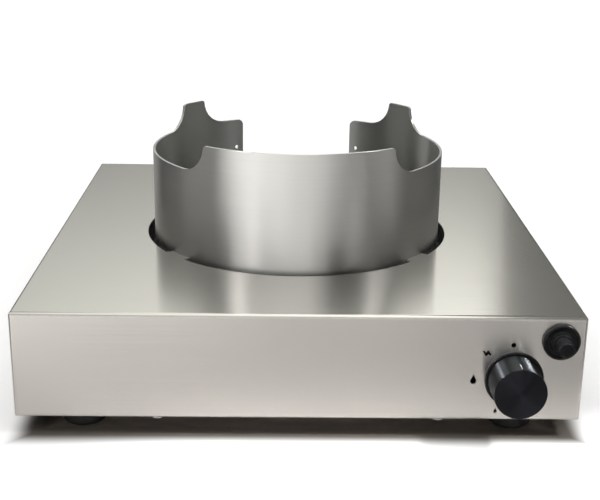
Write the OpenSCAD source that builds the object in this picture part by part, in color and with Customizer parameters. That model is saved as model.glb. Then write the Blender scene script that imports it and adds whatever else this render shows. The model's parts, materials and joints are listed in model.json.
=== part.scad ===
// Table-top gas wok range: a folded steel casing on four rubber feet, one
// burner under a round cut-out, and a loose steel ring that carries the wok.
// Units are millimetres. +Z is up, the front faces -Y, and the origin is on
// the surface that the range stands on, under the middle of the casing.

/* [Casing] */
// Width of the casing
casing_w = 380; // [360:1:440]
// Depth of the casing, front to back
casing_d = 402; // [380:1:460]
// Height of the casing, without its feet
casing_h = 75; // [73:1:90]
// Thickness of the casing sheet
sheet_t = 1.5; // [1:0.1:2]
// Outside radius of the casing's bends
bend_r = 3; // [2.4:0.1:4]
// Width of the flange that turns in under the casing
flange_w = 16; // [14:0.5:20]
// Thickness of the base plate
base_t = 1.2; // [0.8:0.1:2]
// Gap between the base plate's edge and the casing's faces
base_inset = 6; // [4:0.5:7]

/* [Feet] */
// Height of a rubber foot
foot_h = 10.3; // [9:0.1:16]
// Diameter of a rubber foot
foot_d = 32; // [28:0.5:36]
// From the side of the casing to the middle of a foot
foot_from_side = 43; // [40:1:60]
// From the front or rear of the casing to the middle of a foot
foot_from_face = 25; // [24:1:40]

/* [Wok ring] */
// Outside diameter of the wok ring
ring_d = 228; // [210:1:232]
// Wall of the wok ring
ring_wall = 2; // [1.5:0.1:3]
// Height of the lugs that carry the wok, above the casing
lug_h = 87.7; // [80:0.1:100]
// Height of the low edge between the lugs, above the casing
low_h = 67.4; // [55:0.1:72]
// Angle that the front lug spans along its top
front_lug_a = 74.4; // [60:0.1:80]
// Angle that each rear lug spans along its top
rear_lug_a = 12.4; // [10:0.1:16]
// Angle from the front to the middle of a rear lug
rear_lug_at = 129; // [125:0.5:130]
// Angle of the gap at the rear of the ring
ring_gap_a = 49.4; // [40:0.1:50]
// Depth that the ring hangs below its seats
ring_drop = 2.5; // [1.5:0.1:4]
// From the middle of the casing forward to the middle of the ring
ring_forward = 6; // [0:0.5:12]
// Gap between the ring and the edge of the cut-out
ring_gap = 5.3; // [4:0.1:8]

/* [Burner] */
// Outside diameter of the burner cup at its rim
cup_d = 94; // [84:1:100]
// Height of the burner cup
cup_h = 52; // [50:0.5:56]
// From the top of the casing down to the rim of the cup
cup_drop = 4.5; // [2:0.5:8]
// Height of the flame crown above the cup
crown_h = 12; // [10:0.5:14]
// Number of flame slots in the crown
slot_count = 36; // [24:1:40]
// Height of the burner cap
cap_h = 7; // [5:0.5:9]
// Outside diameter of the mixing tube
mixer_d = 28; // [24:0.5:29]

/* [Spill tray] */
// Depth of the spill tray below the casing's top sheet
tray_depth = 19; // [14:0.5:19]
// Thickness of the tray sheet
tray_t = 1.2; // [0.8:0.1:1.5]
// Width of the tray's rim under the top sheet
tray_rim_w = 12; // [10:0.5:16]

/* [Control knob] */
// Diameter of the knob
knob_d = 34.8; // [30:0.1:36]
// How far the knob stands out from the front
knob_reach = 24; // [20:0.5:28]
// From the casing's right side to the knob's axis
knob_from_side = 46.5; // [46:0.5:60]
// From the casing's top to the knob's axis
knob_drop = 44.6; // [42:0.1:46]
// Travel of the knob when it is pushed in
knob_travel = 3.5; // [2:0.1:4]
// Width of the knob bezel's face outside the knob's running gap
bezel_w = 2; // [1.7:0.1:3]
// From the knob's axis to the marks on the front
mark_r = 25.4; // [23:0.1:28]

/* [Igniter] */
// Diameter of the igniter's flange
igniter_d = 25; // [22:0.5:26]
// Diameter of the igniter's button
button_d = 10.4; // [9:0.1:11]
// How far the button stands out from the front
button_reach = 17; // [14:0.5:20]
// Travel of the button when it is pressed
button_travel = 6; // [4:0.5:7]
// From the casing's right side to the igniter's axis
igniter_from_side = 17.3; // [17:0.1:18]
// From the casing's top to the igniter's axis
igniter_drop = 16.9; // [16:0.1:18]

/* [Gas pipes] */
// Outside diameter of the gas pipes
pipe_d = 8; // [6:0.5:10]
// Wall of the gas pipes
pipe_wall = 1; // [0.6:0.1:1.5]
// Radius of the pipes' bends, at their middle line
pipe_bend = 12; // [11:0.5:12]
// Diameter of the threaded gas inlet
inlet_d = 20.96; // [16:0.01:21]
// How far the gas inlet stands out from the rear
inlet_reach = 24; // [18:0.5:30]
// From the casing's right side to the axis of the gas inlet
inlet_from_side = 40; // [38:1:44]

/* [Hidden] */
$fn = 64;

// Shared working values
overrun = 1;             // how far a cut runs past the face it opens
loose = 0.3;             // gap round a piece that only has to drop in
running = 0.05;          // gap round a shaft, screw or pipe in its hole
screw_past = 1;          // how far a screw stands out past its nut
tap_past = 1;            // how far a tapped hole runs past its screw
half_turn = 180;
full_turn = 360;
quarter_turn = 90;
hex_sides = 6;
upright_share = 0.9;     // from here on a direction counts as upright

// Heights
base_z = foot_h;
floor_z = base_z + base_t;
top_z = floor_z + casing_h;
under_top_z = top_z - sheet_t;

// Faces of the casing
side_x = casing_w / 2;
front_y = -casing_d / 2;
rear_y = casing_d / 2;
burner_y = -ring_forward;

// Wok ring and its cut-out
ring_r = ring_d / 2;
ring_bore_r = ring_r - ring_wall;
ring_mid_r = ring_r - ring_wall / 2;
hole_r = ring_r + ring_gap;
notch_r = lug_h - low_h;
notch_a = asin(notch_r / ring_mid_r);
front_notch_at = front_lug_a / 2 + notch_a;
side_notch_at = rear_lug_at - rear_lug_a / 2 - notch_a;
rear_notch_at = rear_lug_at + rear_lug_a / 2 + notch_a;
ring_end_at = half_turn - ring_gap_a / 2;
lug_round = 2.5;
end_round = 5;
round_share = 0.96;      // how far a rounding's centre lies in from both faces
ring_hole_d = 3;
ring_hole_h = 43;
ring_hole_in = 6;
seat_shares = [0.1403, 0.3597, -0.1403, -0.3597];
seat_at = [for (share = seat_shares) share * full_turn];
seat_half_a = 5.2;
seat_play_a = 0.9;
seat_depth = 3;
seat_root_r = 2.5;

// Feet and their fasteners
foot_places = [
  [-side_x + foot_from_side, front_y + foot_from_face],
  [side_x - foot_from_side, front_y + foot_from_face],
  [-side_x + foot_from_side, rear_y - foot_from_face],
  [side_x - foot_from_side, rear_y - foot_from_face]
];
foot_edge = 2.5;
foot_well_d = 15;
foot_web = 4.3;
foot_taper = 1.5;
m4_d = 4;
m4_head_d = 8;
m4_head_h = 2.4;
m4_nut_af = 7;
m4_nut_h = 3.2;
m4_hole_d = m4_d + 2 * running;
washer_d = 12;
washer_t = 1;
cross_w = 1;
cross_depth_share = 0.5;
cross_len_share = 0.6;

// Base plate fasteners and vents
base_screw_in = flange_w / 2;
base_screw_x = casing_w / 4;
base_screw_y = casing_d / 4;
base_screw_places = [
  [-base_screw_x, front_y + base_screw_in],
  [base_screw_x, front_y + base_screw_in],
  [-base_screw_x, rear_y - base_screw_in],
  [base_screw_x, rear_y - base_screw_in],
  [-side_x + base_screw_in, -base_screw_y],
  [side_x - base_screw_in, -base_screw_y],
  [-side_x + base_screw_in, base_screw_y],
  [side_x - base_screw_in, base_screw_y]
];
base_corner_r = 4;
base_head_h = 1.2;
base_vent_w = 4;
base_vent_len = 80;
base_vent_pitch = 10;
base_vent_count = 8;
rear_vent_w = 3;
rear_vent_len = 24;
rear_vent_pitch = 8;
rear_vent_count = 14;
rear_vent_x = -60;
rear_vent_z = floor_z + casing_h / 2;

// Spill tray
tray_clear = 1.5;
tray_in_r = hole_r + tray_clear;
tray_rim_r = tray_in_r + tray_t + tray_rim_w;
tray_bottom_z = under_top_z - tray_depth;
tray_eye_gap = 2;
tray_eye_r = cup_d / 2 + tray_eye_gap;
tray_lip_h = 8;
stud_r_at = tray_in_r + tray_t + tray_rim_w / 2;
stud_shares = [0.125, 0.375, 0.625, 0.875];
stud_at = [for (share = stud_shares) share * full_turn];
stud_len = 9;
stud_hole_d = m4_d + 2 * loose;

// Injector and its holder, in line with the pipe from the gas valve
knob_x = side_x - knob_from_side;
knob_z = top_z - knob_drop;
knob_r = knob_d / 2;
valve_w = 26;
nut_af = 14;
nut_len = 8;
holder_size = 14;
holder_nose_d = 12;
holder_neck = 2.5;
holder_port_d = 5;
holder_x = knob_x - valve_w / 2 - nut_len - pipe_bend;
injector_d = 7;
injector_len = 9;
injector_hole_d = 1.4;
injector_tip_share = 0.3;

// Burner
cup_r = cup_d / 2;
cup_wall = 4;
cup_floor = 4;
cup_flare = 7;
cup_foot_r = cup_r - cup_flare;
cup_flare_h = 30;
cup_rim_z = top_z - cup_drop;
cup_z = cup_rim_z - cup_h;
mixer_up = 18;
mixer_z = cup_z + mixer_up;
mixer_wall = 3;
mixer_bore_d = mixer_d - 2 * mixer_wall;
bell_flare = 2;
bell_d = mixer_d + 2 * bell_flare;
bell_len = 4;
yoke_gap = 10;
yoke_t = 6;
yoke_arm_w = 8;
yoke_arm_t = 4;
yoke_x = holder_x - holder_size / 2 - holder_neck - yoke_t;
mixer_reach = yoke_x - yoke_gap;
m5_d = 5;
m5_head_d = 9;
m5_head_h = 3;
burner_screw_x = 26;
burner_boss_r = 6;
burner_boss_h = 6;
crown_wall = 14;
crown_over = 1;
crown_spigot_h = 4;
crown_spigot_wall = 6;
slot_w = 1.6;
slot_depth = 4;
cap_over = 3;
cap_dome_share = 0.55;
cap_spigot_h = 4;
cap_spigot_wall = 4;
dome_steps = 8;

// Burner bracket
bracket_t = 1.5;
bracket_half_x = 62;
bracket_half_y = 38;
bracket_foot_w = 15;
rivet_d = 4;
rivet_head_d = 7;
rivet_head_h = 1.4;
rivet_y = 26;
bracket_rivets_at = [
  for (sx = [-1, 1], sy = [-1, 1])
    [sx * (bracket_half_x + bracket_foot_w / 2), burner_y + sy * rivet_y]
];

// Electrode and thermocouple beside the burner
probe_out = 2;
probe_x = -cup_r - probe_out;
probe_y = 29;
electrode_pos = [probe_x, burner_y + probe_y];
sensor_pos = [probe_x, burner_y - probe_y];
probe_d = 6.5;
probe_collar_d = 10;
probe_collar_h = 3;
probe_tail = 4.5;
probe_tip_z = cup_rim_z + crown_h / 2;
probe_body_share = 0.67;
insulator_drop = 2;
insulator_top_z = cup_rim_z - insulator_drop;
rod_d = 2.2;
rod_bend = 5;
rod_tail = 1;
rod_tip_gap = 3.5;
tray_probe_hole_d = 9;
sensor_tip_d = 4;
clip_t = 1;

// Gas valve
valve_tall = 28;
valve_len = 44;
bonnet_t = 4;
valve_back = 15;
bonnet_y = front_y + valve_back;
valve_y = bonnet_y + bonnet_t;
valve_end_y = valve_y + valve_len;
port_from_end = 12;
port_y = valve_end_y - port_from_end;
port_d = 5;
plug_bore_d = 16;
plug_d = plug_bore_d - 2 * running;
plug_len = 29;
plug_gap = 1;
plug_bottom = 4;
spindle_d = 8;
spindle_flat = 1.5;
spindle_flat_len = 16;
spindle_tail = 11;
pushrod_d = 2.5;
pushrod_len = 20;
m3_d = 3;
m3_head_d = 5.5;
m3_head_h = 2;
bonnet_screw_z = 10.5;
magnet_d = 12;
magnet_in = 8;
magnet_hex_af = 17;
magnet_hex_h = 6;
magnet_tail_d = 8;
magnet_tail_len = 10;
magnet_nut_af = 10;
magnet_nut_len = 9;
valve_bracket_foot = 10;
valve_bracket_len = 34;
valve_bracket_z = knob_z - valve_tall / 2 - bracket_t;
valve_mid_y = valve_y + valve_len / 2;
valve_rivets_at = [
  for (s = [-1, 1])
    [knob_x + s * (valve_w / 2 + valve_bracket_foot / 2), valve_mid_y]
];
valve_screw_y = 12;
valve_screw_len = 6;

// Springs
spring_wire = 0.9;
spring_turns = 7;
spring_sides = 6;
spring_steps = 12;

// Knob and bezel
bezel_face_t = 1.5;
bezel_bore_r = knob_r + loose;
bezel_sleeve_t = 0.75;
bezel_sleeve_r = bezel_bore_r + bezel_sleeve_t;
bezel_face_r = bezel_bore_r + bezel_w;
bezel_sleeve_len = 5;
knob_face_t = 2.5;
knob_wall = 2;
knob_chamfer = 0.8;
hub_d = 18;
web_t = 4;
socket_bottom_t = 3;
pointer_len = 10;
pointer_w = 1;
pointer_depth = 0.4;
pointer_proud = 0.15;
hub_back = 1;

// Marks cut through the front, each as angle and share of the mark radius
dot_mark_share = [4.4, 0.975];
spark_mark_share = [45.7, 1.05];
high_mark_share = [90, 1.07];
low_mark_share = [154, 1];
dot_d = 3.3;
spark_w = 6;
spark_shares = [
  [-0.5, 0.24], [-0.333, 0.333], [-0.125, 0.04], [-0.015, 0.325], [0.165, 0.325],
  [0.5, -0.24], [0.333, -0.333], [0.125, -0.04], [0.015, -0.325], [-0.165, -0.325]
];
high_flame_w = 4.3;
high_flame_h = 7;
low_flame_w = 2.3;
low_flame_h = 3.6;

// Igniter
igniter_x = side_x - igniter_from_side;
igniter_z = top_z - igniter_drop;
igniter_face_t = 3.5;
igniter_edge = 1;
igniter_collar_d = 12.4;
igniter_collar_h = 1.5;
igniter_body_d = 18;
igniter_body_len = 45;
igniter_nut_af = 22;
igniter_nut_h = 5;
button_bore_d = button_d + 2 * running;
button_tail = 22;
button_bore_len = 36;
star_rays = 4;
star_w = 0.5;
star_len = 7;
star_depth = 0.3;
terminal_w = 4;
terminal_t = 0.8;
terminal_len = 7;

// Gas inlet and pipes
inlet_x = side_x - inlet_from_side;
inlet_z = knob_z;
inlet_hex_af = 27;
inlet_hex_h = 5;
inlet_in = 15;
inlet_tail_d = 12;
inlet_tail_len = 14;
inlet_bore_d = 13;
supply_x = knob_x + valve_w / 2 + nut_len + pipe_bend;
supply_straight = 6;
inlet_end_y = rear_y - inlet_in - inlet_tail_len;
supply_turn_y = inlet_end_y - nut_len - pipe_bend - supply_straight;
supply_route = [
  [knob_x + valve_w / 2, port_y, knob_z],
  [supply_x, port_y, knob_z],
  [supply_x, supply_turn_y, knob_z],
  [inlet_x, supply_turn_y, knob_z],
  [inlet_x, inlet_end_y, inlet_z]
];
burner_route = [
  [knob_x - valve_w / 2, port_y, mixer_z],
  [holder_x, port_y, mixer_z],
  [holder_x, burner_y - holder_size / 2, mixer_z]
];

// Leads inside the casing
lead_h = 2.5;
lead_z = floor_z + lead_h;
lead_bend = 4;
spark_lead_d = 3;
sensor_lead_d = 2.4;
boot_d = 6;
boot_len = 8;
igniter_end_y = front_y + sheet_t + igniter_body_len + terminal_len;
spark_drop_in = 14;
spark_drop_back = 18;
spark_drop_x = igniter_x - spark_drop_in;
spark_drop_y = igniter_end_y + spark_drop_back;
spark_behind = 28;
spark_cross_y = burner_y + bracket_half_y + spark_behind;
sensor_before = 36;
sensor_cross_y = burner_y - bracket_half_y - sensor_before;
magnet_end_y = valve_end_y + magnet_hex_h + magnet_tail_len + magnet_nut_len;
electrode_end_z = cup_z - bracket_t - probe_tail;
sensor_end_z = cup_z - bracket_t - probe_tail;
spark_route = [
  [igniter_x, igniter_end_y, igniter_z],
  [igniter_x, spark_drop_y, igniter_z],
  [spark_drop_x, spark_drop_y, igniter_z],
  [spark_drop_x, spark_drop_y, lead_z],
  [spark_drop_x, spark_cross_y, lead_z],
  [electrode_pos.x, spark_cross_y, lead_z],
  [electrode_pos.x, electrode_pos.y, lead_z],
  [electrode_pos.x, electrode_pos.y, electrode_end_z - rod_tail]
];
sensor_route = [
  [sensor_pos.x, sensor_pos.y, sensor_end_z],
  [sensor_pos.x, sensor_pos.y, lead_z],
  [sensor_pos.x, sensor_cross_y, lead_z],
  [knob_x, sensor_cross_y, lead_z],
  [knob_x, sensor_cross_y, knob_z],
  [knob_x, magnet_end_y, knob_z]
];
clip_size = 8;
clip_h = 6;

// Clips along the leads' straight runs, each as its share of the run
spark_side_share = 0.472;
spark_cross_share = 0.53;
sensor_cross_shares = [0.312, 0.779];
spark_clips = [
  [spark_drop_x, between(spark_drop_y, spark_cross_y, spark_side_share), quarter_turn],
  [between(electrode_pos.x, spark_drop_x, spark_cross_share), spark_cross_y, 0]
];
sensor_clips = [
  for (share = sensor_cross_shares)
    [between(sensor_pos.x, knob_x, share), sensor_cross_y, 0]
];

// Small shapes that several pieces share

function between(a, b, share) = a + share * (b - a);

// Flat rectangle with round corners, centred
module round_rect_2d(w, d, r) {
  square([w - 2 * r, d], center = true);
  square([w, d - 2 * r], center = true);
  for (sx = [-1, 1], sy = [-1, 1])
    translate([sx * (w / 2 - r), sy * (d / 2 - r)]) circle(r);
}

// Box whose twelve edges are bent round, standing on z = 0
module bent_box(w, d, h, r) {
  intersection() {
    linear_extrude(h) round_rect_2d(w, d, r);
    translate([0, d / 2, h / 2]) rotate([quarter_turn, 0, 0])
      linear_extrude(d) round_rect_2d(w, h, r);
    translate([-w / 2, 0, h / 2]) rotate([quarter_turn, 0, quarter_turn])
      linear_extrude(w) round_rect_2d(d, h, r);
  }
}

// Turns what lies along +Z so that it points to the rear, +Y
module to_rear() {
  rotate([-quarter_turn, 0, 0]) children();
}

// Round bar or tube along +Y
module rear_bar(d, len, bore = 0) {
  to_rear() difference() {
    cylinder(d = d, h = len);
    if (bore > 0)
      translate([0, 0, -overrun]) cylinder(d = bore, h = len + 2 * overrun);
  }
}

// Hexagon prism along +Z with a round hole
module hex_nut(af, h, bore) {
  difference() {
    cylinder(d = af / cos(half_turn / hex_sides), h = h, $fn = hex_sides);
    if (bore > 0)
      translate([0, 0, -overrun]) cylinder(d = bore, h = h + 2 * overrun);
  }
}

// Pan-head screw with its head's seat at z = 0 and its shank along +Z
module pan_screw(d, len, head_d, head_h) {
  cylinder(d = d, h = len);
  difference() {
    translate([0, 0, -head_h]) cylinder(d = head_d, h = head_h);
    for (turn = [0, quarter_turn])
      rotate([0, 0, turn])
        translate([0, 0, -head_h])
          cube([head_d * cross_len_share, cross_w, 2 * head_h * cross_depth_share],
               center = true);
  }
}

// Rigid frame whose +Z runs along a direction, at a point
function unit(v) = v / norm(v);
function side_of(z) = unit(cross(abs(z.z) < upright_share ? [0, 0, 1] : [1, 0, 0], z));
function frame_at(x, y, z, p) = [
  [x.x, y.x, z.x, p.x],
  [x.y, y.y, z.y, p.y],
  [x.z, y.z, z.z, p.z],
  [0, 0, 0, 1]
];

module pipe_section(d, bore) {
  difference() {
    circle(d = d);
    if (bore > 0) circle(d = bore);
  }
}

module straight_run(a, b, d, bore) {
  z = unit(b - a);
  x = side_of(z);
  multmatrix(frame_at(x, cross(z, x), z, a))
    linear_extrude(norm(b - a)) pipe_section(d, bore);
}

module quarter_bend(a, corner, b, d, bore, bend) {
  u = unit(corner - a);
  v = unit(b - corner);
  multmatrix(frame_at(-v, u, cross(u, v), corner + bend * (v - u)))
    rotate_extrude(angle = quarter_turn) translate([bend, 0]) pipe_section(d, bore);
}

// Pipe or lead through a list of points, with a quarter bend at each corner
module pipe_run(points, d, bend, bore = 0) {
  last = len(points) - 1;
  for (i = [0 : last - 1]) {
    along = unit(points[i + 1] - points[i]);
    a = points[i] + along * (i == 0 ? 0 : bend);
    b = points[i + 1] - along * (i == last - 1 ? 0 : bend);
    straight_run(a, b, d, bore);
  }
  for (i = [1 : last - 1])
    quarter_bend(points[i - 1], points[i], points[i + 1], d, bore, bend);
}

// Coil of wire round the Z axis, standing on z = 0
module coil_spring(d, len, wire, turns) {
  steps = turns * spring_steps;
  mid_r = (d - wire) / 2;
  rise = len - wire;
  points = [
    for (i = [0 : steps], k = [0 : spring_sides - 1])
      let (turn = full_turn * turns * i / steps,
           around = full_turn * k / spring_sides,
           r = mid_r + wire / 2 * cos(around))
        [r * cos(turn), r * sin(turn),
         wire / 2 + rise * i / steps + wire / 2 * sin(around)]
  ];
  sides = [
    for (i = [0 : steps - 1], k = [0 : spring_sides - 1])
      let (k2 = (k + 1) % spring_sides,
           a = i * spring_sides + k, b = i * spring_sides + k2,
           c = a + spring_sides, e = b + spring_sides)
        each [[a, c, b], [b, c, e]]
  ];
  first_end = [for (k = [1 : spring_sides - 2]) [0, k, k + 1]];
  base = steps * spring_sides;
  last_end = [for (k = [1 : spring_sides - 2]) [base, base + k + 1, base + k]];
  polyhedron(points, concat(sides, first_end, last_end));
}

// Turns a shape drawn along +X to an angle counted from the front
module at_ring_angle(a) {
  translate([0, burner_y, 0]) rotate([0, 0, a - quarter_turn]) children();
}

// Drop of flame, standing on its round end's lowest point
module flame_2d(w, h) {
  r = w / 2;
  lean = acos(r / (h - r));
  translate([0, r]) circle(r);
  in_r = r * round_share;
  polygon([
    [-in_r * sin(lean), r + in_r * cos(lean)],
    [in_r * sin(lean), r + in_r * cos(lean)],
    [0, h]
  ]);
}

// Zigzag, the sign for the spark
module spark_2d() {
  polygon(spark_w * spark_shares);
}

// Cut through the front sheet, drawn upright at a mark's place
module front_mark(place) {
  a = place[0];
  r = mark_r * place[1];
  translate([knob_x - r * sin(a), front_y + bend_r, knob_z + r * cos(a)])
    rotate([quarter_turn, 0, 0]) linear_extrude(bend_r + overrun) children();
}

// Casing

// One seat in the cut-out, drawn along +X, with round roots
module seat_2d() {
  reach = hole_r + overrun;
  tip = ring_bore_r - seat_depth;
  polygon([
    for (p = [[tip, -1], [reach, -1], [reach, 1], [tip, 1]])
      [p[0] * cos(seat_half_a), p[0] * sin(p[1] * seat_half_a)]
  ]);
  root_at = hole_r - seat_root_r;
  root_a = seat_half_a + asin(seat_root_r / root_at);
  touch = sqrt(root_at * root_at - seat_root_r * seat_root_r);
  for (s = [-1, 1]) difference() {
    polygon([
      touch * [cos(seat_half_a), s * sin(seat_half_a)],
      reach * [cos(seat_half_a), s * sin(seat_half_a)],
      reach * [cos(root_a), s * sin(root_a)],
      root_at * [cos(root_a), s * sin(root_a)]
    ]);
    translate(root_at * [cos(root_a), s * sin(root_a)]) circle(seat_root_r + running);
  }
}

module cut_out_2d() {
  difference() {
    circle(hole_r);
    for (a = seat_at) rotate(a - quarter_turn) seat_2d();
  }
}

module casing() {
  color("silver") difference() {
    translate([0, 0, floor_z]) bent_box(casing_w, casing_d, casing_h, bend_r);
    translate([0, 0, floor_z + sheet_t])
      bent_box(casing_w - 2 * sheet_t, casing_d - 2 * sheet_t,
               casing_h - 2 * sheet_t, bend_r - sheet_t);
    // Opening inside the bottom flange
    translate([0, 0, floor_z - overrun])
      linear_extrude(sheet_t + 2 * overrun)
        round_rect_2d(casing_w - 2 * flange_w, casing_d - 2 * flange_w, base_corner_r);
    for (p = base_screw_places)
      translate([p.x, p.y, floor_z - overrun])
        cylinder(d = m4_hole_d, h = sheet_t + 2 * overrun);
    // Cut-out for the wok ring
    translate([0, burner_y, under_top_z - overrun])
      linear_extrude(sheet_t + 2 * overrun) cut_out_2d();
    // Holes in the front
    translate([knob_x, front_y - overrun, knob_z])
      rear_bar(2 * (bezel_sleeve_r + running), sheet_t + 2 * overrun);
    translate([igniter_x, front_y - overrun, igniter_z])
      rear_bar(igniter_body_d + 2 * running, sheet_t + 2 * overrun);
    front_mark(dot_mark_share) circle(d = dot_d);
    front_mark(spark_mark_share) spark_2d();
    front_mark(high_mark_share)
      translate([0, -high_flame_h / 2]) flame_2d(high_flame_w, high_flame_h);
    front_mark(low_mark_share)
      translate([0, -low_flame_h / 2]) flame_2d(low_flame_w, low_flame_h);
    // Holes in the rear
    translate([inlet_x, rear_y - sheet_t - overrun, inlet_z])
      rear_bar(inlet_d + 2 * running, sheet_t + 2 * overrun);
    for (i = [0 : rear_vent_count - 1])
      translate([rear_vent_x + (i - (rear_vent_count - 1) / 2) * rear_vent_pitch,
                 rear_y + overrun, rear_vent_z])
        rotate([quarter_turn, 0, 0]) linear_extrude(sheet_t + 2 * overrun)
          slot_2d(rear_vent_w, rear_vent_len);
  }
}

// Upright slot with round ends
module slot_2d(w, len) {
  square([w, len - w], center = true);
  for (s = [-1, 1]) translate([0, s * (len - w) / 2]) circle(d = w);
}

module base_plate() {
  color("lightsteelblue") difference() {
    translate([0, 0, base_z]) linear_extrude(base_t)
      round_rect_2d(casing_w - 2 * base_inset, casing_d - 2 * base_inset, base_corner_r);
    for (p = concat(base_screw_places, foot_places, bracket_rivets_at, valve_rivets_at))
      translate([p.x, p.y, base_z - overrun])
        cylinder(d = m4_hole_d, h = base_t + 2 * overrun);
    for (i = [0 : base_vent_count - 1])
      translate([0, burner_y + (i - (base_vent_count - 1) / 2) * base_vent_pitch,
                 base_z - overrun])
        linear_extrude(base_t + 2 * overrun)
          rotate(quarter_turn) slot_2d(base_vent_w, base_vent_len);
  }
}

module base_screws() {
  color("gainsboro") for (p = base_screw_places)
    translate([p.x, p.y, base_z])
      pan_screw(m4_d, base_t + sheet_t + m4_nut_h + screw_past, m4_head_d, base_head_h);
}

module base_nuts() {
  color("gainsboro") for (p = base_screw_places)
    translate([p.x, p.y, floor_z + sheet_t]) hex_nut(m4_nut_af, m4_nut_h, m4_hole_d);
}

// Feet

// Rubber foot: a slightly tapered puck with a well for its screw
module foot_at(place) {
  well_top = foot_h - foot_web;
  color("#1c1c1e") translate([place.x, place.y, 0]) difference() {
    rotate_extrude() {
      polygon([
        [0, 0],
        [foot_d / 2 - foot_taper - foot_edge, 0],
        [foot_d / 2 - foot_taper, foot_edge],
        [foot_d / 2, foot_h],
        [0, foot_h]
      ]);
      translate([foot_d / 2 - foot_taper - foot_edge, foot_edge]) circle(foot_edge);
    }
    translate([0, 0, -overrun]) cylinder(d = foot_well_d, h = well_top + overrun);
    cylinder(d = m4_hole_d, h = foot_h + overrun);
  }
}

module foot_washers() {
  color("gainsboro") for (p = foot_places)
    translate([p.x, p.y, foot_h - foot_web - washer_t]) difference() {
      cylinder(d = washer_d, h = washer_t);
      translate([0, 0, -overrun]) cylinder(d = m4_hole_d, h = washer_t + 2 * overrun);
    }
}

module foot_screws() {
  color("gainsboro") for (p = foot_places)
    translate([p.x, p.y, foot_h - foot_web - washer_t])
      pan_screw(m4_d, washer_t + foot_web + base_t + m4_nut_h + screw_past,
                m4_head_d, m4_head_h);
}

module foot_nuts() {
  color("gainsboro") for (p = foot_places)
    translate([p.x, p.y, floor_z]) hex_nut(m4_nut_af, m4_nut_h, m4_hole_d);
}

// Spill tray under the cut-out

module spill_tray() {
  color("#232325") difference() {
    translate([0, burner_y, 0]) rotate_extrude() polygon([
      [tray_eye_r, tray_bottom_z],
      [tray_in_r + tray_t, tray_bottom_z],
      [tray_in_r + tray_t, under_top_z - tray_t],
      [tray_rim_r, under_top_z - tray_t],
      [tray_rim_r, under_top_z],
      [tray_in_r, under_top_z],
      [tray_in_r, tray_bottom_z + tray_t],
      [tray_eye_r + tray_t, tray_bottom_z + tray_t],
      [tray_eye_r + tray_t, tray_bottom_z + tray_lip_h],
      [tray_eye_r, tray_bottom_z + tray_lip_h]
    ]);
    for (a = stud_at) at_ring_angle(a)
      translate([stud_r_at, 0, under_top_z - tray_t - overrun])
        cylinder(d = stud_hole_d, h = tray_t + 2 * overrun);
    for (p = [electrode_pos, sensor_pos])
      translate([p.x, p.y, tray_bottom_z - overrun])
        cylinder(d = tray_probe_hole_d, h = tray_t + 2 * overrun);
  }
}

module tray_studs() {
  color("silver") for (a = stud_at) at_ring_angle(a)
    translate([stud_r_at, 0, under_top_z - stud_len]) cylinder(d = m4_d, h = stud_len);
}

module tray_nuts() {
  color("gainsboro") for (a = stud_at) at_ring_angle(a)
    translate([stud_r_at, 0, under_top_z - tray_t - m4_nut_h])
      hex_nut(m4_nut_af, m4_nut_h, m4_hole_d);
}

// Wok ring

// Part of a turn of the ring's wall with room on both faces
module ring_sector(from_a, to_a, z_low, z_high) {
  at_ring_angle(from_a) rotate_extrude(angle = to_a - from_a)
    translate([ring_bore_r - overrun, z_low])
      square([ring_wall + 2 * overrun, z_high - z_low]);
}

// Round hole through the wall of the ring
module ring_drill(a, z, r) {
  at_ring_angle(a) translate([ring_bore_r / 2, 0, z])
    rotate([0, quarter_turn, 0]) cylinder(r = r, h = ring_r);
}

// Rounds a top corner whose material lies to one side of an angle
module ring_corner(a, z, r, side) {
  c = r * round_share;
  at_ring_angle(a) translate([ring_bore_r / 2, 0, z])
    rotate([quarter_turn, 0, quarter_turn]) linear_extrude(ring_r)
      difference() {
        translate([side > 0 ? -c : -overrun, -c]) square([c + overrun, c + overrun]);
        translate([-side * c, -c]) circle(r);
      }
}

module wok_ring() {
  low_z = top_z + low_h;
  lug_z = top_z + lug_h;
  past_z = lug_z + overrun;
  color("silver") difference() {
    at_ring_angle(-ring_end_at) rotate_extrude(angle = 2 * ring_end_at)
      translate([ring_bore_r, top_z - ring_drop])
        square([ring_wall, ring_drop + lug_h]);
    for (s = [-1, 1]) {
      // Low edges at the side and beside the rear gap
      ring_sector(min(s * front_notch_at, s * side_notch_at),
                  max(s * front_notch_at, s * side_notch_at), low_z, past_z);
      ring_sector(min(s * rear_notch_at, s * half_turn),
                  max(s * rear_notch_at, s * half_turn), low_z, past_z);
      for (a = [front_notch_at, side_notch_at, rear_notch_at])
        ring_drill(s * a, lug_z, notch_r + running);
      ring_corner(s * front_lug_a / 2, lug_z, lug_round, s);
      ring_corner(s * (rear_lug_at - rear_lug_a / 2), lug_z, lug_round, -s);
      ring_corner(s * (rear_lug_at + rear_lug_a / 2), lug_z, lug_round, s);
      ring_corner(s * ring_end_at, low_z, end_round, s);
      ring_drill(s * (ring_end_at - half_turn * ring_hole_in / (PI * ring_mid_r)),
                 top_z + ring_hole_h, ring_hole_d / 2);
    }
    for (a = seat_at)
      ring_sector(a - seat_half_a - seat_play_a, a + seat_half_a + seat_play_a,
                  top_z - ring_drop - overrun, top_z);
  }
}

// Burner

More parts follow.
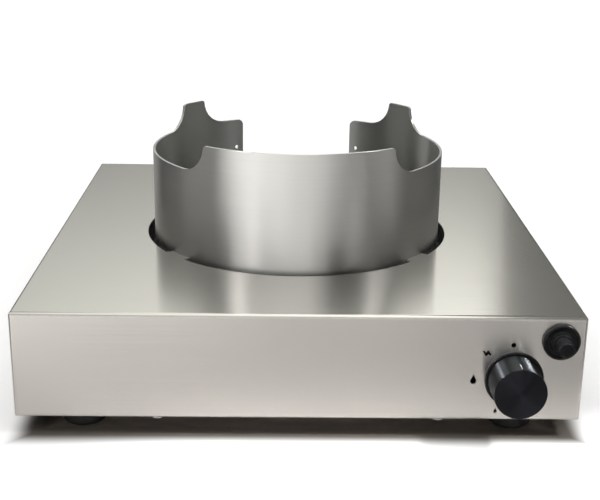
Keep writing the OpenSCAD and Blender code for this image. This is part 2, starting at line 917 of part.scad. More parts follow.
module burner_bracket() {
  reach = bracket_half_x + bracket_foot_w;
  color("gainsboro") difference() {
    union() {
      translate([-bracket_half_x, burner_y - bracket_half_y, cup_z - bracket_t])
        cube([2 * bracket_half_x, 2 * bracket_half_y, bracket_t]);
      for (s = [-1, 1]) {
        translate([s > 0 ? bracket_half_x - bracket_t : -bracket_half_x,
                   burner_y - bracket_half_y, floor_z])
          cube([bracket_t, 2 * bracket_half_y, cup_z - floor_z]);
        translate([s > 0 ? bracket_half_x - bracket_t : -reach,
                   burner_y - bracket_half_y, floor_z])
          cube([bracket_foot_w + bracket_t, 2 * bracket_half_y, bracket_t]);
      }
    }
    for (p = bracket_rivets_at)
      translate([p.x, p.y, floor_z - overrun])
        cylinder(d = rivet_d + 2 * running, h = bracket_t + 2 * overrun);
    for (s = [-1, 1])
      translate([s * burner_screw_x, burner_y, cup_z - bracket_t - overrun])
        cylinder(d = m5_d + 2 * running, h = bracket_t + 2 * overrun);
    for (p = [electrode_pos, sensor_pos])
      translate([p.x, p.y, cup_z - bracket_t - overrun])
        cylinder(d = probe_d + 2 * running, h = bracket_t + 2 * overrun);
  }
}

module bracket_rivets() {
  grip = base_t + bracket_t;
  color("gainsboro") for (p = concat(bracket_rivets_at, valve_rivets_at))
    translate([p.x, p.y, base_z]) {
      cylinder(d = rivet_d, h = grip);
      translate([0, 0, -rivet_head_h]) cylinder(d = rivet_head_d, h = rivet_head_h);
      translate([0, 0, grip]) cylinder(d = rivet_head_d, h = rivet_head_h);
    }
}

// Cast cup with its mixing tube and the yoke that holds the injector
module burner_cup() {
  yoke_mid = (mixer_reach + yoke_x + yoke_t) / 2;
  arm_len = yoke_gap + yoke_t + bell_len;
  color("darkgray") translate([0, burner_y, cup_z]) difference() {
    union() {
      rotate_extrude() polygon([
        [0, 0], [cup_foot_r, 0], [cup_r, cup_flare_h], [cup_r, cup_h], [0, cup_h]
      ]);
      translate([0, 0, mixer_z - cup_z]) rotate([0, quarter_turn, 0]) {
        cylinder(d = mixer_d, h = mixer_reach);
        translate([0, 0, mixer_reach - bell_len]) cylinder(d = bell_d, h = bell_len);
        translate([0, 0, yoke_x]) cylinder(d = bell_d, h = yoke_t);
      }
      for (s = [-1, 1])
        translate([mixer_reach - bell_len,
                   s * (bell_d / 2 - yoke_arm_t / 2) - yoke_arm_t / 2,
                   mixer_z - cup_z - yoke_arm_w / 2])
          cube([arm_len, yoke_arm_t, yoke_arm_w]);
    }
    difference() {
      rotate_extrude() polygon([
        [0, cup_floor],
        [cup_foot_r - cup_wall, cup_floor],
        [cup_r - cup_wall, cup_flare_h],
        [cup_r - cup_wall, cup_h + overrun],
        [0, cup_h + overrun]
      ]);
      for (s = [-1, 1])
        translate([s * burner_screw_x, 0, 0])
          cylinder(r = burner_boss_r, h = cup_floor + burner_boss_h);
    }
    translate([0, 0, mixer_z - cup_z]) rotate([0, quarter_turn, 0]) {
      cylinder(d = mixer_bore_d, h = mixer_reach + overrun);
      cylinder(d = holder_nose_d + 2 * running, h = yoke_x + yoke_t + overrun);
    }
    for (s = [-1, 1])
      translate([s * burner_screw_x, 0, -overrun])
        cylinder(d = m5_d + 2 * running, h = cup_floor + burner_boss_h);
  }
}

module burner_screws() {
  color("gainsboro") for (s = [-1, 1])
    translate([s * burner_screw_x, burner_y, cup_z - bracket_t])
      pan_screw(m5_d, bracket_t + cup_floor + burner_boss_h / 2, m5_head_d, m5_head_h);
}

module burner_crown() {
  crown_r = cup_r + crown_over;
  spigot_r = cup_r - cup_wall - loose;
  color("goldenrod") translate([0, burner_y, cup_rim_z]) difference() {
    rotate_extrude() polygon([
      [crown_r - crown_wall, 0],
      [spigot_r - crown_spigot_wall, -crown_spigot_h],
      [spigot_r, -crown_spigot_h],
      [spigot_r, 0],
      [crown_r, 0],
      [crown_r, crown_h],
      [crown_r - crown_wall, crown_h]
    ]);
    for (i = [0 : slot_count - 1])
      rotate([0, 0, full_turn * i / slot_count])
        translate([crown_r - crown_wall - overrun, -slot_w / 2, crown_h - slot_depth])
          cube([crown_wall + 2 * overrun, slot_w, slot_depth + overrun]);
  }
}

module burner_cap() {
  cap_r = cup_r + cap_over;
  spigot_r = cup_r + crown_over - crown_wall - loose;
  edge_h = cap_h * (1 - cap_dome_share);
  dome_h = cap_h - edge_h;
  dome_r = (cap_r * cap_r + dome_h * dome_h) / (2 * dome_h);
  dome = [
    for (i = [0 : dome_steps])
      let (x = cap_r * (1 - i / dome_steps))
        [x, cap_h - dome_r + sqrt(dome_r * dome_r - x * x)]
  ];
  color("#29292b") translate([0, burner_y, cup_rim_z + crown_h]) rotate_extrude()
    polygon(concat(
      dome,
      [
        [0, 0],
        [spigot_r - cap_spigot_wall, 0],
        [spigot_r - cap_spigot_wall, -cap_spigot_h],
        [spigot_r, -cap_spigot_h],
        [spigot_r, 0],
        [cap_r, 0]
      ]
    ));
}

// Spark electrode and flame sensor

module electrode_insulator() {
  bottom = electrode_end_z;
  color("white") translate([electrode_pos.x, electrode_pos.y, 0]) difference() {
    union() {
      translate([0, 0, bottom]) cylinder(d = probe_d, h = insulator_top_z - bottom);
      translate([0, 0, cup_z]) cylinder(d = probe_collar_d, h = probe_collar_h);
    }
    translate([0, 0, bottom - overrun])
      cylinder(d = rod_d + 2 * running, h = insulator_top_z - bottom + 2 * overrun);
  }
}

module electrode_rod() {
  away = [electrode_pos.x, electrode_pos.y - burner_y];
  tip_r = cup_r + crown_over + rod_tip_gap;
  color("slategray") translate([0, burner_y, 0]) rotate([0, 0, atan2(away.y, away.x)])
    pipe_run([
      [norm(away), 0, electrode_end_z - rod_tail],
      [norm(away), 0, probe_tip_z],
      [tip_r, 0, probe_tip_z]
    ], rod_d, rod_bend);
}

module electrode_clip() {
  color("gainsboro") translate([electrode_pos.x, electrode_pos.y, cup_z - bracket_t - clip_t])
    difference() {
      cylinder(d = probe_collar_d, h = clip_t);
      translate([0, 0, -overrun])
        cylinder(d = probe_d + 2 * running, h = clip_t + 2 * overrun);
    }
}

module thermocouple() {
  color("darkgoldenrod") translate([sensor_pos.x, sensor_pos.y, 0]) {
    translate([0, 0, sensor_end_z])
      cylinder(d = probe_d, h = cup_z + probe_body_share * cup_h - sensor_end_z);
    translate([0, 0, cup_z]) cylinder(d = probe_collar_d, h = probe_collar_h);
    translate([0, 0, sensor_end_z])
      cylinder(d = sensor_tip_d, h = probe_tip_z - sensor_end_z);
  }
}

module thermocouple_nut() {
  color("gold") translate([sensor_pos.x, sensor_pos.y, cup_z - bracket_t - m4_nut_h])
    hex_nut(probe_collar_d, m4_nut_h, probe_d + 2 * running);
}

module thermocouple_lead() {
  color("peru") pipe_run(sensor_route, sensor_lead_d, lead_bend);
}

module ignition_lead() {
  color("#b03a2e") {
    pipe_run(spark_route, spark_lead_d, lead_bend);
    translate(spark_route[0]) rear_bar(boot_d, boot_len);
  }
}

// Saddles that hold the two leads down on the base plate
module lead_saddle(place, d) {
  translate([place[0], place[1], floor_z]) rotate([0, 0, place[2]]) difference() {
    translate([-clip_size / 2, -clip_size / 2, 0]) cube([clip_size, clip_size, clip_h]);
    translate([-clip_size, 0, lead_z - floor_z]) rotate([0, quarter_turn, 0])
      cylinder(d = d + 2 * running, h = 2 * clip_size);
  }
}

module lead_clips() {
  color("whitesmoke") {
    for (c = spark_clips) lead_saddle(c, spark_lead_d);
    for (c = sensor_clips) lead_saddle(c, sensor_lead_d);
  }
}

// Gas path

module injector_holder() {
  s = holder_size;
  color("gold") translate([0, burner_y, mixer_z]) difference() {
    union() {
      translate([holder_x - s / 2, -s / 2, -s / 2]) cube([s, s, s]);
      translate([yoke_x, 0, 0]) rotate([0, quarter_turn, 0])
        cylinder(d = holder_nose_d, h = yoke_t + holder_neck);
    }
    translate([yoke_x - overrun, 0, 0]) rotate([0, quarter_turn, 0])
      cylinder(d = holder_port_d, h = holder_x - yoke_x + overrun);
    translate([holder_x, -s / 2 - overrun, 0]) rear_bar(holder_port_d, s / 2 + overrun);
  }
}

module injector() {
  tip = injector_d * injector_tip_share;
  color("goldenrod") translate([yoke_x, burner_y, mixer_z])
    rotate([0, -quarter_turn, 0]) difference() {
      union() {
        cylinder(d = injector_d, h = injector_len - tip);
        translate([0, 0, injector_len - tip])
          cylinder(d1 = injector_d, d2 = tip, h = tip);
      }
      translate([0, 0, -overrun])
        cylinder(d = injector_hole_d, h = injector_len + 2 * overrun);
    }
}

module pipe_nut_along_y(p) {
  translate(p) to_rear() hex_nut(nut_af, nut_len, pipe_d + 2 * running);
}

module pipe_nut_along_x(p) {
  translate(p) rotate([0, quarter_turn, 0]) hex_nut(nut_af, nut_len, pipe_d + 2 * running);
}

module burner_pipe() {
  color("silver") pipe_run(burner_route, pipe_d, pipe_bend, pipe_d - 2 * pipe_wall);
}

module burner_pipe_nuts() {
  color("gold") {
    pipe_nut_along_x(burner_route[0] - [nut_len, 0, 0]);
    pipe_nut_along_y(burner_route[2] - [0, nut_len, 0]);
  }
}

module supply_pipe() {
  color("silver") pipe_run(supply_route, pipe_d, pipe_bend, pipe_d - 2 * pipe_wall);
}

module supply_pipe_nuts() {
  color("gold") {
    pipe_nut_along_x(supply_route[0]);
    pipe_nut_along_y(supply_route[4] - [0, nut_len, 0]);
  }
}

module gas_inlet() {
  color("gold") translate([inlet_x, 0, inlet_z]) difference() {
    union() {
      translate([0, rear_y - inlet_in, 0]) rear_bar(inlet_d, inlet_in + inlet_reach);
      translate([0, rear_y, 0]) to_rear() hex_nut(inlet_hex_af, inlet_hex_h, 0);
      translate([0, inlet_end_y, 0]) rear_bar(inlet_tail_d, inlet_tail_len);
    }
    translate([0, rear_y, 0]) rear_bar(inlet_bore_d, inlet_reach + overrun);
    translate([0, inlet_end_y - overrun, 0])
      rear_bar(pipe_d - 2 * pipe_wall, rear_y - inlet_end_y + 2 * overrun);
  }
}

module inlet_locknut() {
  color("gold") translate([inlet_x, rear_y - sheet_t - inlet_hex_h, inlet_z])
    to_rear() hex_nut(inlet_hex_af, inlet_hex_h, inlet_d + 2 * running);
}

// Gas valve

module valve_bracket() {
  half = valve_w / 2;
  y0 = valve_mid_y - valve_bracket_len / 2;
  color("gainsboro") difference() {
    union() {
      translate([knob_x - half, y0, valve_bracket_z])
        cube([valve_w, valve_bracket_len, bracket_t]);
      for (s = [-1, 1]) {
        translate([knob_x + (s > 0 ? half - bracket_t : -half), y0, floor_z])
          cube([bracket_t, valve_bracket_len, valve_bracket_z - floor_z + bracket_t]);
        translate([knob_x + (s > 0 ? half - bracket_t : -half - valve_bracket_foot),
                   y0, floor_z])
          cube([valve_bracket_foot + bracket_t, valve_bracket_len, bracket_t]);
      }
    }
    for (p = valve_rivets_at)
      translate([p.x, p.y, floor_z - overrun])
        cylinder(d = rivet_d + 2 * running, h = bracket_t + 2 * overrun);
    for (s = [-1, 1])
      translate([knob_x, valve_mid_y + s * valve_screw_y, valve_bracket_z - overrun])
        cylinder(d = m4_hole_d, h = bracket_t + 2 * overrun);
  }
}

module valve_screws() {
  color("gainsboro") for (s = [-1, 1])
    translate([knob_x, valve_mid_y + s * valve_screw_y, valve_bracket_z])
      pan_screw(m4_d, valve_screw_len, m4_head_d, m4_head_h);
}

module valve_body() {
  color("khaki") translate([knob_x, valve_y, knob_z]) difference() {
    translate([-valve_w / 2, 0, -valve_tall / 2]) cube([valve_w, valve_len, valve_tall]);
    translate([0, -overrun, 0]) rear_bar(plug_bore_d, plug_len + plug_gap + overrun);
    rear_bar(port_d, valve_len);
    translate([0, valve_len - magnet_in - plug_gap, 0])
      rear_bar(magnet_d + 2 * running, magnet_in + plug_gap + overrun);
    // Inlet on the right, outlet on the left
    translate([0, port_y - valve_y, 0]) rotate([0, quarter_turn, 0])
      cylinder(d = port_d, h = valve_w);
    translate([0, port_y - valve_y, mixer_z - knob_z]) rotate([0, -quarter_turn, 0])
      cylinder(d = port_d, h = valve_w);
    for (s = [-1, 1]) {
      translate([0, valve_len / 2 + s * valve_screw_y, -valve_tall / 2 - overrun])
        cylinder(d = m4_hole_d, h = valve_screw_len - bracket_t + tap_past + overrun);
      translate([0, -overrun, s * bonnet_screw_z])
        rear_bar(m3_d + 2 * running, valve_screw_len + tap_past + overrun);
    }
  }
}

module valve_bonnet() {
  color("khaki") translate([knob_x, bonnet_y, knob_z]) difference() {
    translate([-valve_w / 2, 0, -valve_tall / 2]) cube([valve_w, bonnet_t, valve_tall]);
    translate([0, -overrun, 0])
      rear_bar(spindle_d + 2 * running, bonnet_t + 2 * overrun);
    for (s = [-1, 1])
      translate([0, -overrun, s * bonnet_screw_z])
        rear_bar(m3_d + 2 * running, bonnet_t + 2 * overrun);
  }
}

module bonnet_screws() {
  color("gainsboro") for (s = [-1, 1])
    translate([knob_x, bonnet_y, knob_z + s * bonnet_screw_z])
      to_rear() pan_screw(m3_d, bonnet_t + valve_screw_len, m3_head_d, m3_head_h);
}

// Rotating plug with the hollow that the spindle slides in
module valve_plug() {
  color("darkkhaki") translate([knob_x, valve_y + plug_gap / 2, knob_z]) difference() {
    rear_bar(plug_d, plug_len);
    translate([0, -overrun, 0])
      rear_bar(spindle_d + 2 * running, plug_len - plug_bottom + overrun);
    translate([0, -overrun, 0]) rear_bar(pushrod_d + 2 * loose, plug_len + 2 * overrun);
    translate([0, plug_len / 2, 0]) rotate([0, quarter_turn, 0])
      cylinder(d = port_d, h = plug_d);
  }
}

// Spindle with the flat that drives the knob and the rod that opens the safety valve
module valve_spindle() {
  tip_y = front_y - knob_reach + knob_face_t + socket_bottom_t;
  end_y = valve_y + spindle_tail;
  color("silver") translate([knob_x, 0, knob_z]) {
    difference() {
      translate([0, tip_y, 0]) rear_bar(spindle_d, end_y - tip_y);
      translate([-spindle_d / 2, tip_y - overrun, spindle_d / 2 - spindle_flat])
        cube([spindle_d, spindle_flat_len + overrun, spindle_d]);
    }
    translate([0, end_y, 0]) rear_bar(pushrod_d, pushrod_len);
  }
}

module spindle_spring() {
  start = valve_y + spindle_tail;
  end = valve_y + plug_gap / 2 + plug_len - plug_bottom;
  color("lightslategray") translate([knob_x, start, knob_z]) to_rear()
    coil_spring(spindle_d - 2 * running, end - start, spring_wire, spring_turns);
}

module magnet_unit() {
  color("silver") translate([knob_x, valve_end_y, knob_z]) {
    translate([0, -magnet_in, 0]) rear_bar(magnet_d, magnet_in);
    to_rear() hex_nut(magnet_hex_af, magnet_hex_h, 0);
    translate([0, magnet_hex_h, 0]) rear_bar(magnet_tail_d, magnet_tail_len);
  }
}

module magnet_nut() {
  color("gold") translate([knob_x, magnet_end_y - magnet_nut_len, knob_z])
    to_rear() hex_nut(magnet_nut_af, magnet_nut_len, sensor_lead_d + 2 * running);
}

// Knob and bezel

module knob_bezel() {
  color("#141415") translate([knob_x, 0, knob_z]) difference() {
    union() {
      translate([0, front_y - bezel_face_t, 0]) rear_bar(2 * bezel_face_r, bezel_face_t);
      translate([0, front_y, 0])
        rear_bar(2 * bezel_sleeve_r, sheet_t + bezel_sleeve_len);
    }
    translate([0, front_y - bezel_face_t - overrun, 0])
      rear_bar(2 * bezel_bore_r, bezel_face_t + sheet_t + bezel_sleeve_len + 2 * overrun);
  }
}

// Turned aluminium shell of the knob, open to the rear
module control_knob() {
  y0 = front_y - knob_reach;
  color("#1e2124") translate([knob_x, 0, knob_z]) difference() {
    translate([0, y0, 0]) to_rear() rotate_extrude() polygon([
      [0, 0],
      [knob_r - knob_chamfer, 0],
      [knob_r, knob_chamfer],
      [knob_r, knob_reach],
      [knob_r - knob_wall, knob_reach],
      [knob_r - knob_wall, knob_face_t],
      [0, knob_face_t]
    ]);
    translate([-pointer_w / 2, y0 + knob_chamfer, knob_r - pointer_depth])
      cube([pointer_w, pointer_len, pointer_depth + overrun]);
  }
}

module knob_pointer() {
  color("white")
    translate([knob_x - pointer_w / 2, front_y - knob_reach + knob_chamfer,
               knob_z + knob_r - pointer_depth])
      cube([pointer_w, pointer_len, pointer_depth + pointer_proud]);
}

// Plastic core that grips the spindle inside the knob
module knob_insert() {
  y0 = front_y - knob_reach + knob_face_t;
  hub_len = knob_reach - knob_face_t - hub_back;
  color("#2b2b2d") translate([knob_x, y0, knob_z]) difference() {
    union() {
      rear_bar(2 * (knob_r - knob_wall) - 2 * running, web_t);
      rear_bar(hub_d, hub_len);
    }
    difference() {
      translate([0, socket_bottom_t, 0])
        rear_bar(spindle_d + 2 * running, hub_len);
      translate([-spindle_d, socket_bottom_t - overrun, spindle_d / 2 - spindle_flat + running])
        cube([2 * spindle_d, spindle_flat_len, spindle_d]);
    }
  }
}

// Igniter

module igniter_housing() {
  r = igniter_d / 2;
  color("#131314") translate([igniter_x, 0, igniter_z]) difference() {
    union() {
      translate([0, front_y - igniter_face_t, 0]) to_rear() rotate_extrude() {
        polygon([
          [0, 0], [r - igniter_edge, 0], [r, igniter_edge],
          [r, igniter_face_t], [0, igniter_face_t]
        ]);
        translate([r - igniter_edge, igniter_edge]) circle(igniter_edge);
      }
      translate([0, front_y - igniter_face_t - igniter_collar_h, 0])
        rear_bar(igniter_collar_d, igniter_collar_h);
      translate([0, front_y, 0]) rear_bar(igniter_body_d, sheet_t + igniter_body_len);
    }
    translate([0, front_y - button_reach, 0])
      rear_bar(button_bore_d, button_reach + button_bore_len);
  }
}

module igniter_nut() {
  color("gainsboro") translate([igniter_x, front_y + sheet_t, igniter_z])
    to_rear() hex_nut(igniter_nut_af, igniter_nut_h, igniter_body_d + 2 * running);
}

module igniter_button() {
  color("#101011") translate([igniter_x, front_y - button_reach, igniter_z]) difference() {
    rear_bar(button_d, button_reach + button_tail);
    for (i = [0 : star_rays - 1])
      rotate([0, half_turn * i / star_rays, 0])
        cube([star_len, 2 * star_depth, star_w], center = true);
  }
}

module igniter_spring() {
  color("lightslategray") translate([igniter_x, front_y + button_tail, igniter_z]) to_rear()
    coil_spring(button_d - spring_wire, button_bore_len - button_tail,
                spring_wire, spring_turns);
}

module igniter_terminal() {
  color("gold")
    translate([igniter_x, front_y + sheet_t + igniter_body_len + terminal_len / 2, igniter_z])
      cube([terminal_w, terminal_len, terminal_t], center = true);
}

casing();
base_plate();
base_screws();
base_nuts();
foot_at(foot_places[0]);  // foot_front_left
foot_at(foot_places[1]);  // foot_front_right
foot_at(foot_places[2]);  // foot_rear_left
foot_at(foot_places[3]);  // foot_rear_right
foot_washers();
foot_screws();
foot_nuts();
spill_tray();
tray_studs();
tray_nuts();
wok_ring();
burner_bracket();
bracket_rivets();
burner_cup();
burner_screws();
burner_crown();
burner_cap();
injector_holder();
injector();
burner_pipe();
burner_pipe_nuts();
supply_pipe();
supply_pipe_nuts();
gas_inlet();
inlet_locknut();
valve_bracket();
valve_screws();
valve_body();
valve_bonnet();
bonnet_screws();
valve_plug();
valve_spindle();
spindle_spring();
magnet_unit();
magnet_nut();
knob_bezel();
control_knob();
knob_insert();
knob_pointer();
igniter_housing();
igniter_nut();
igniter_button();
igniter_spring();
igniter_terminal();
ignition_lead();
electrode_insulator();
electrode_rod();
electrode_clip();
thermocouple();
thermocouple_nut();
thermocouple_lead();
lead_clips();
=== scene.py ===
import json
import math

import bmesh
import bpy
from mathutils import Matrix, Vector


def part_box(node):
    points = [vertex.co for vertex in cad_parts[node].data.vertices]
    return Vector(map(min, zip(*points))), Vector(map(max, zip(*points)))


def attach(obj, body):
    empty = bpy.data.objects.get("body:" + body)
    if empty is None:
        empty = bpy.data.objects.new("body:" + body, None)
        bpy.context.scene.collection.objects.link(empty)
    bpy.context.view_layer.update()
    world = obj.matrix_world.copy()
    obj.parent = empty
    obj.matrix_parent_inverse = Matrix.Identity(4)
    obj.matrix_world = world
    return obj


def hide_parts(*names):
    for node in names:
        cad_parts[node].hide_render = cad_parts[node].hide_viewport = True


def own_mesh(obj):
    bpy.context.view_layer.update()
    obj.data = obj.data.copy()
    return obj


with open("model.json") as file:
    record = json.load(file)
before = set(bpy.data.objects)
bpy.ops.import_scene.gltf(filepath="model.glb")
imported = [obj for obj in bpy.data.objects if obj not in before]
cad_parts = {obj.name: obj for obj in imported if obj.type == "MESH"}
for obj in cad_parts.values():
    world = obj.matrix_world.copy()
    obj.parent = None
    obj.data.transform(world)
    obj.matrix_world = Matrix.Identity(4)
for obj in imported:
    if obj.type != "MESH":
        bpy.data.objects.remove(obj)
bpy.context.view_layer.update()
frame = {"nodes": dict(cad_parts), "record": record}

# Sizes of the range, in metres, with its angles in degrees

MM = 0.001
FRONT_Y = -201 * MM
REAR_Y = 201 * MM
TOP_Z = 86.5 * MM
BURNER_Y = -6 * MM
CUT_OUT_REACH = 121 * MM
SHEET_EASE = 0.35 * MM
RING_MID_R = 113 * MM
RING_BOTTOM_Z = 84 * MM
RING_LOW_Z = 153.9 * MM
RING_LUG_Z = 174.2 * MM
RING_NOTCH_R = 20.3 * MM
FRONT_LUG_NOTCH = 47.55
SIDE_NOTCH = 112.45
REAR_NOTCH = 145.55
RING_END = 155.3
RING_FACET = 1.5
SEAT_ANGLES = (50.5, 129.5)
SEAT_HALF = 5.5
KNOB_X = 143.5 * MM
KNOB_Z = 41.9 * MM
IGNITER_X = 172.7 * MM
IGNITER_Z = 69.6 * MM
BUTTON_DISH = 0.35 * MM
CROWN_TEETH = 36
CROWN_SLOT_HALF = 0.8 * MM
TRAY_MIDDLE_R = 49 * MM
TRAY_SHEET = 1.2 * MM
SPRING_WIRE = 0.9 * MM
SPRING_TURNS = 7.0
BASE_Z = 10.3 * MM
FOOT_WELL_Z = 5 * MM

# How finely corners and turned shapes are stepped, and where shading breaks, in radians

EASE_STEPS = 5
TURN_STEPS = 96
SOFT = 0.6
SOFT_ALL = 1.0


# Small helpers for node trees

def put(tree, socket, value):
    """Sets a socket, or links another socket to it."""
    if isinstance(value, bpy.types.NodeSocket):
        tree.links.new(value, socket)
    else:
        socket.default_value = value


def fill(tree, node, **inputs):
    """Sets or links a node's inputs by name, with an underscore for each space."""
    for label, value in inputs.items():
        put(tree, node.inputs[label.replace("_", " ")], value)
    return node


def add_node(tree, kind, **inputs):
    return fill(tree, tree.nodes.new(kind), **inputs)


def operate(tree, kind, operation, values):
    node = tree.nodes.new(kind)
    node.operation = operation
    for socket, value in zip(node.inputs, values):
        put(tree, socket, value)
    return node.outputs[0]


def calc(tree, operation, *values):
    return operate(tree, "ShaderNodeMath", operation, values)


def vector_calc(tree, operation, *values):
    return operate(tree, "ShaderNodeVectorMath", operation, values)


def times(tree, first, second):
    return calc(tree, "MULTIPLY", first, second)


def spread(tree, value, from_low, from_high, to_low, to_high):
    """A value moved from one span to another."""
    return add_node(tree, "ShaderNodeMapRange", Value=value, From_Min=from_low,
                    From_Max=from_high, To_Min=to_low, To_Max=to_high).outputs["Result"]


def glide(tree, *spans):
    """As spread, eased at both ends."""
    result = spread(tree, *spans)
    result.node.interpolation_type = "SMOOTHSTEP"
    return result


def mix(tree, kind, first, result, factor, low, high):
    node = tree.nodes.new("ShaderNodeMix")
    node.data_type = kind
    put(tree, node.inputs[0], factor)
    put(tree, node.inputs[first], low)
    put(tree, node.inputs[first + 1], high)
    return node.outputs[result]


def between(tree, factor, low, high):
    """A number between two others."""
    return mix(tree, "FLOAT", 2, 0, factor, low, high)


def tint(tree, factor, low, high):
    """A colour between two others."""
    return mix(tree, "RGBA", 6, 2, factor, low, high)


def colour(r, g, b):
    return (r, g, b, 1.0)


def three(tree, x, y, z):
    return add_node(tree, "ShaderNodeCombineXYZ", X=x, Y=y, Z=z).outputs[0]


def parts_of(tree, vector):
    return add_node(tree, "ShaderNodeSeparateXYZ", Vector=vector).outputs


def first_channel(tree, value):
    node = tree.nodes.new("ShaderNodeSeparateColor")
    put(tree, node.inputs[0], value)
    return node.outputs[0]


def flat_length(tree, a, b):
    """The length of a vector that has two parts."""
    return calc(tree, "SQRT", calc(tree, "ADD", times(tree, a, a), times(tree, b, b)))


def coordinates(tree, kind):
    return tree.nodes.new("ShaderNodeTexCoord").outputs[kind]


def noise(tree, vector, scale, detail, roughness):
    return add_node(tree, "ShaderNodeTexNoise", Vector=vector, Scale=scale, Detail=detail,
                    Roughness=roughness).outputs[0]


def effect(name, numbers, results):
    """A shader node group that makes values from a Vector and numbers."""
    group = bpy.data.node_groups.new(name, "ShaderNodeTree")
    group.interface.new_socket(name="Vector", in_out="INPUT", socket_type="NodeSocketVector")
    for label, value in numbers.items():
        socket = group.interface.new_socket(name=label, in_out="INPUT",
                                            socket_type="NodeSocketFloat")
        socket.default_value = value
    for label in results:
        group.interface.new_socket(name=label, in_out="OUTPUT", socket_type="NodeSocketFloat")
    given = group.nodes.new("NodeGroupInput").outputs
    return group, given, group.nodes.new("NodeGroupOutput").inputs


def use_effect(tree, group, vector, **values):
    node = tree.nodes.new("ShaderNodeGroup")
    node.node_tree = group
    return fill(tree, node, Vector=vector, **values).outputs


# Effects shared by the finishes

def make_brush_effect():
    """Lines of a belt-brushed or turned metal: X of the vector runs across them, Y along them."""
    group, given, result = effect(
        "brush_lines", {"Across": 2600.0, "Along": 26.0, "Patch": 14.0},
        ["Lines", "Streaks", "Patches"])
    vector = given["Vector"]
    across = given["Across"]
    along = given["Along"]
    fine = vector_calc(group, "MULTIPLY", vector, three(group, across, along, 1.0))
    wide = three(group, times(group, across, 0.22), times(group, along, 0.45), 1.0)
    coarse = vector_calc(group, "MULTIPLY", vector, wide)
    put(group, result["Lines"], noise(group, fine, 1.0, 2.0, 0.6))
    put(group, result["Streaks"], noise(group, coarse, 1.0, 3.0, 0.55))
    put(group, result["Patches"], noise(group, vector, given["Patch"], 3.0, 0.5))
    return group


def make_grain_effect():
    """Fine grain and soft clouds, for moulded, cast, coated and plated faces."""
    group, given, result = effect(
        "grain_and_clouds", {"Grain size": 0.001, "Cloud size": 0.03}, ["Grain", "Clouds"])
    grain_scale = calc(group, "DIVIDE", 1.0, given["Grain size"])
    cloud_scale = calc(group, "DIVIDE", 1.0, given["Cloud size"])
    put(group, result["Grain"], noise(group, given["Vector"], grain_scale, 3.0, 0.6))
    put(group, result["Clouds"], noise(group, given["Vector"], cloud_scale, 4.0, 0.55))
    return group


def make_spangle_effect():
    """The flat crystals of zinc on a sheet."""
    group, given, result = effect("zinc_spangle", {"Size": 0.006}, ["Cells"])
    scale = calc(group, "DIVIDE", 1.0, given["Size"])
    bend = add_node(group, "ShaderNodeTexNoise", Vector=given["Vector"], Scale=scale)
    bent = vector_calc(group, "MULTIPLY_ADD", bend.outputs["Color"], (0.003, 0.003, 0.003),
                       given["Vector"])
    cells = add_node(group, "ShaderNodeTexVoronoi", Vector=bent, Scale=scale)
    put(group, result["Cells"], first_channel(group, cells.outputs["Color"]))
    return group


BRUSH = make_brush_effect()
GRAIN = make_grain_effect()
SPANGLE = make_spangle_effect()


# Finishes

def bare_material(name):
    """A material whose tree holds its output only."""
    material = bpy.data.materials.new(name)
    material.use_nodes = True
    tree = material.node_tree
    tree.nodes.clear()
    return material, tree, tree.nodes.new("ShaderNodeOutputMaterial")


def new_finish(name):
    material, tree, leave = bare_material(name)
    shader = tree.nodes.new("ShaderNodeBsdfPrincipled")
    tree.links.new(shader.outputs[0], leave.inputs[0])
    return material, tree, shader


def add_bump(tree, shader, height, depth):
    bump = add_node(tree, "ShaderNodeBump", Height=height, Strength=1.0, Distance=depth)
    fill(tree, shader, Normal=bump.outputs[0])


def brushed_finish(name, dark, pale, rough_low, rough_high, anisotropy, across, along, depth,
                   face=None):
    """Metal with lines that follow its grain map; face is (from Y, to Y, the darker colour
    painted there as shade).
    """
    material, tree, shader = new_finish(name)
    chart = tree.nodes.new("ShaderNodeUVMap")
    chart.uv_map = "grain"
    lines = use_effect(tree, BRUSH, chart.outputs[0], Across=across, Along=along)
    both = calc(tree, "MULTIPLY_ADD", lines["Streaks"], 0.55, times(tree, lines["Lines"], 0.45))
    shade = calc(tree, "MULTIPLY_ADD", lines["Patches"], 0.3, times(tree, both, 0.7))
    base = tint(tree, spread(tree, shade, 0.3, 0.7, 0.0, 1.0), colour(*dark), colour(*pale))
    # A turned front face gets a darker colour painted on as shade, for the dimmer light it
    # mirrors.
    if face:
        y = parts_of(tree, coordinates(tree, "Object"))[1]
        painted_shade_on_face = glide(tree, y, face[0], face[1], 1.0, 0.0)
        base = tint(tree, painted_shade_on_face, base, colour(*face[2]))
    grain_way = tree.nodes.new("ShaderNodeTangent")
    grain_way.direction_type = "UV_MAP"
    grain_way.uv_map = "grain"
    fill(tree, shader, Base_Color=base, Metallic=1.0, Anisotropic=anisotropy,
         Roughness=spread(tree, shade, 0.3, 0.7, rough_high, rough_low),
         Tangent=grain_way.outputs[0])
    add_bump(tree, shader, both, depth)
    return material


def grained_finish(name, dark, pale, metallic, rough_low, rough_high, grain, cloud, depth,
                   specular=0.5, coat=0.0, coat_rough=0.1):
    """Moulded, cast, coated or plated surface with a fine grain and soft clouds."""
    material, tree, shader = new_finish(name)
    look = use_effect(tree, GRAIN, coordinates(tree, "Object"), Grain_size=grain,
                      Cloud_size=cloud)
    shade = calc(tree, "MULTIPLY_ADD", look["Grain"], 0.35, times(tree, look["Clouds"], 0.65))
    base = tint(tree, spread(tree, shade, 0.32, 0.68, 0.0, 1.0), colour(*dark), colour(*pale))
    fill(tree, shader, Base_Color=base, Metallic=metallic, Specular_IOR_Level=specular,
         Roughness=spread(tree, look["Clouds"], 0.3, 0.7, rough_low, rough_high),
         Coat_Weight=coat, Coat_Roughness=coat_rough)
    add_bump(tree, shader, look["Grain"], depth)
    return material


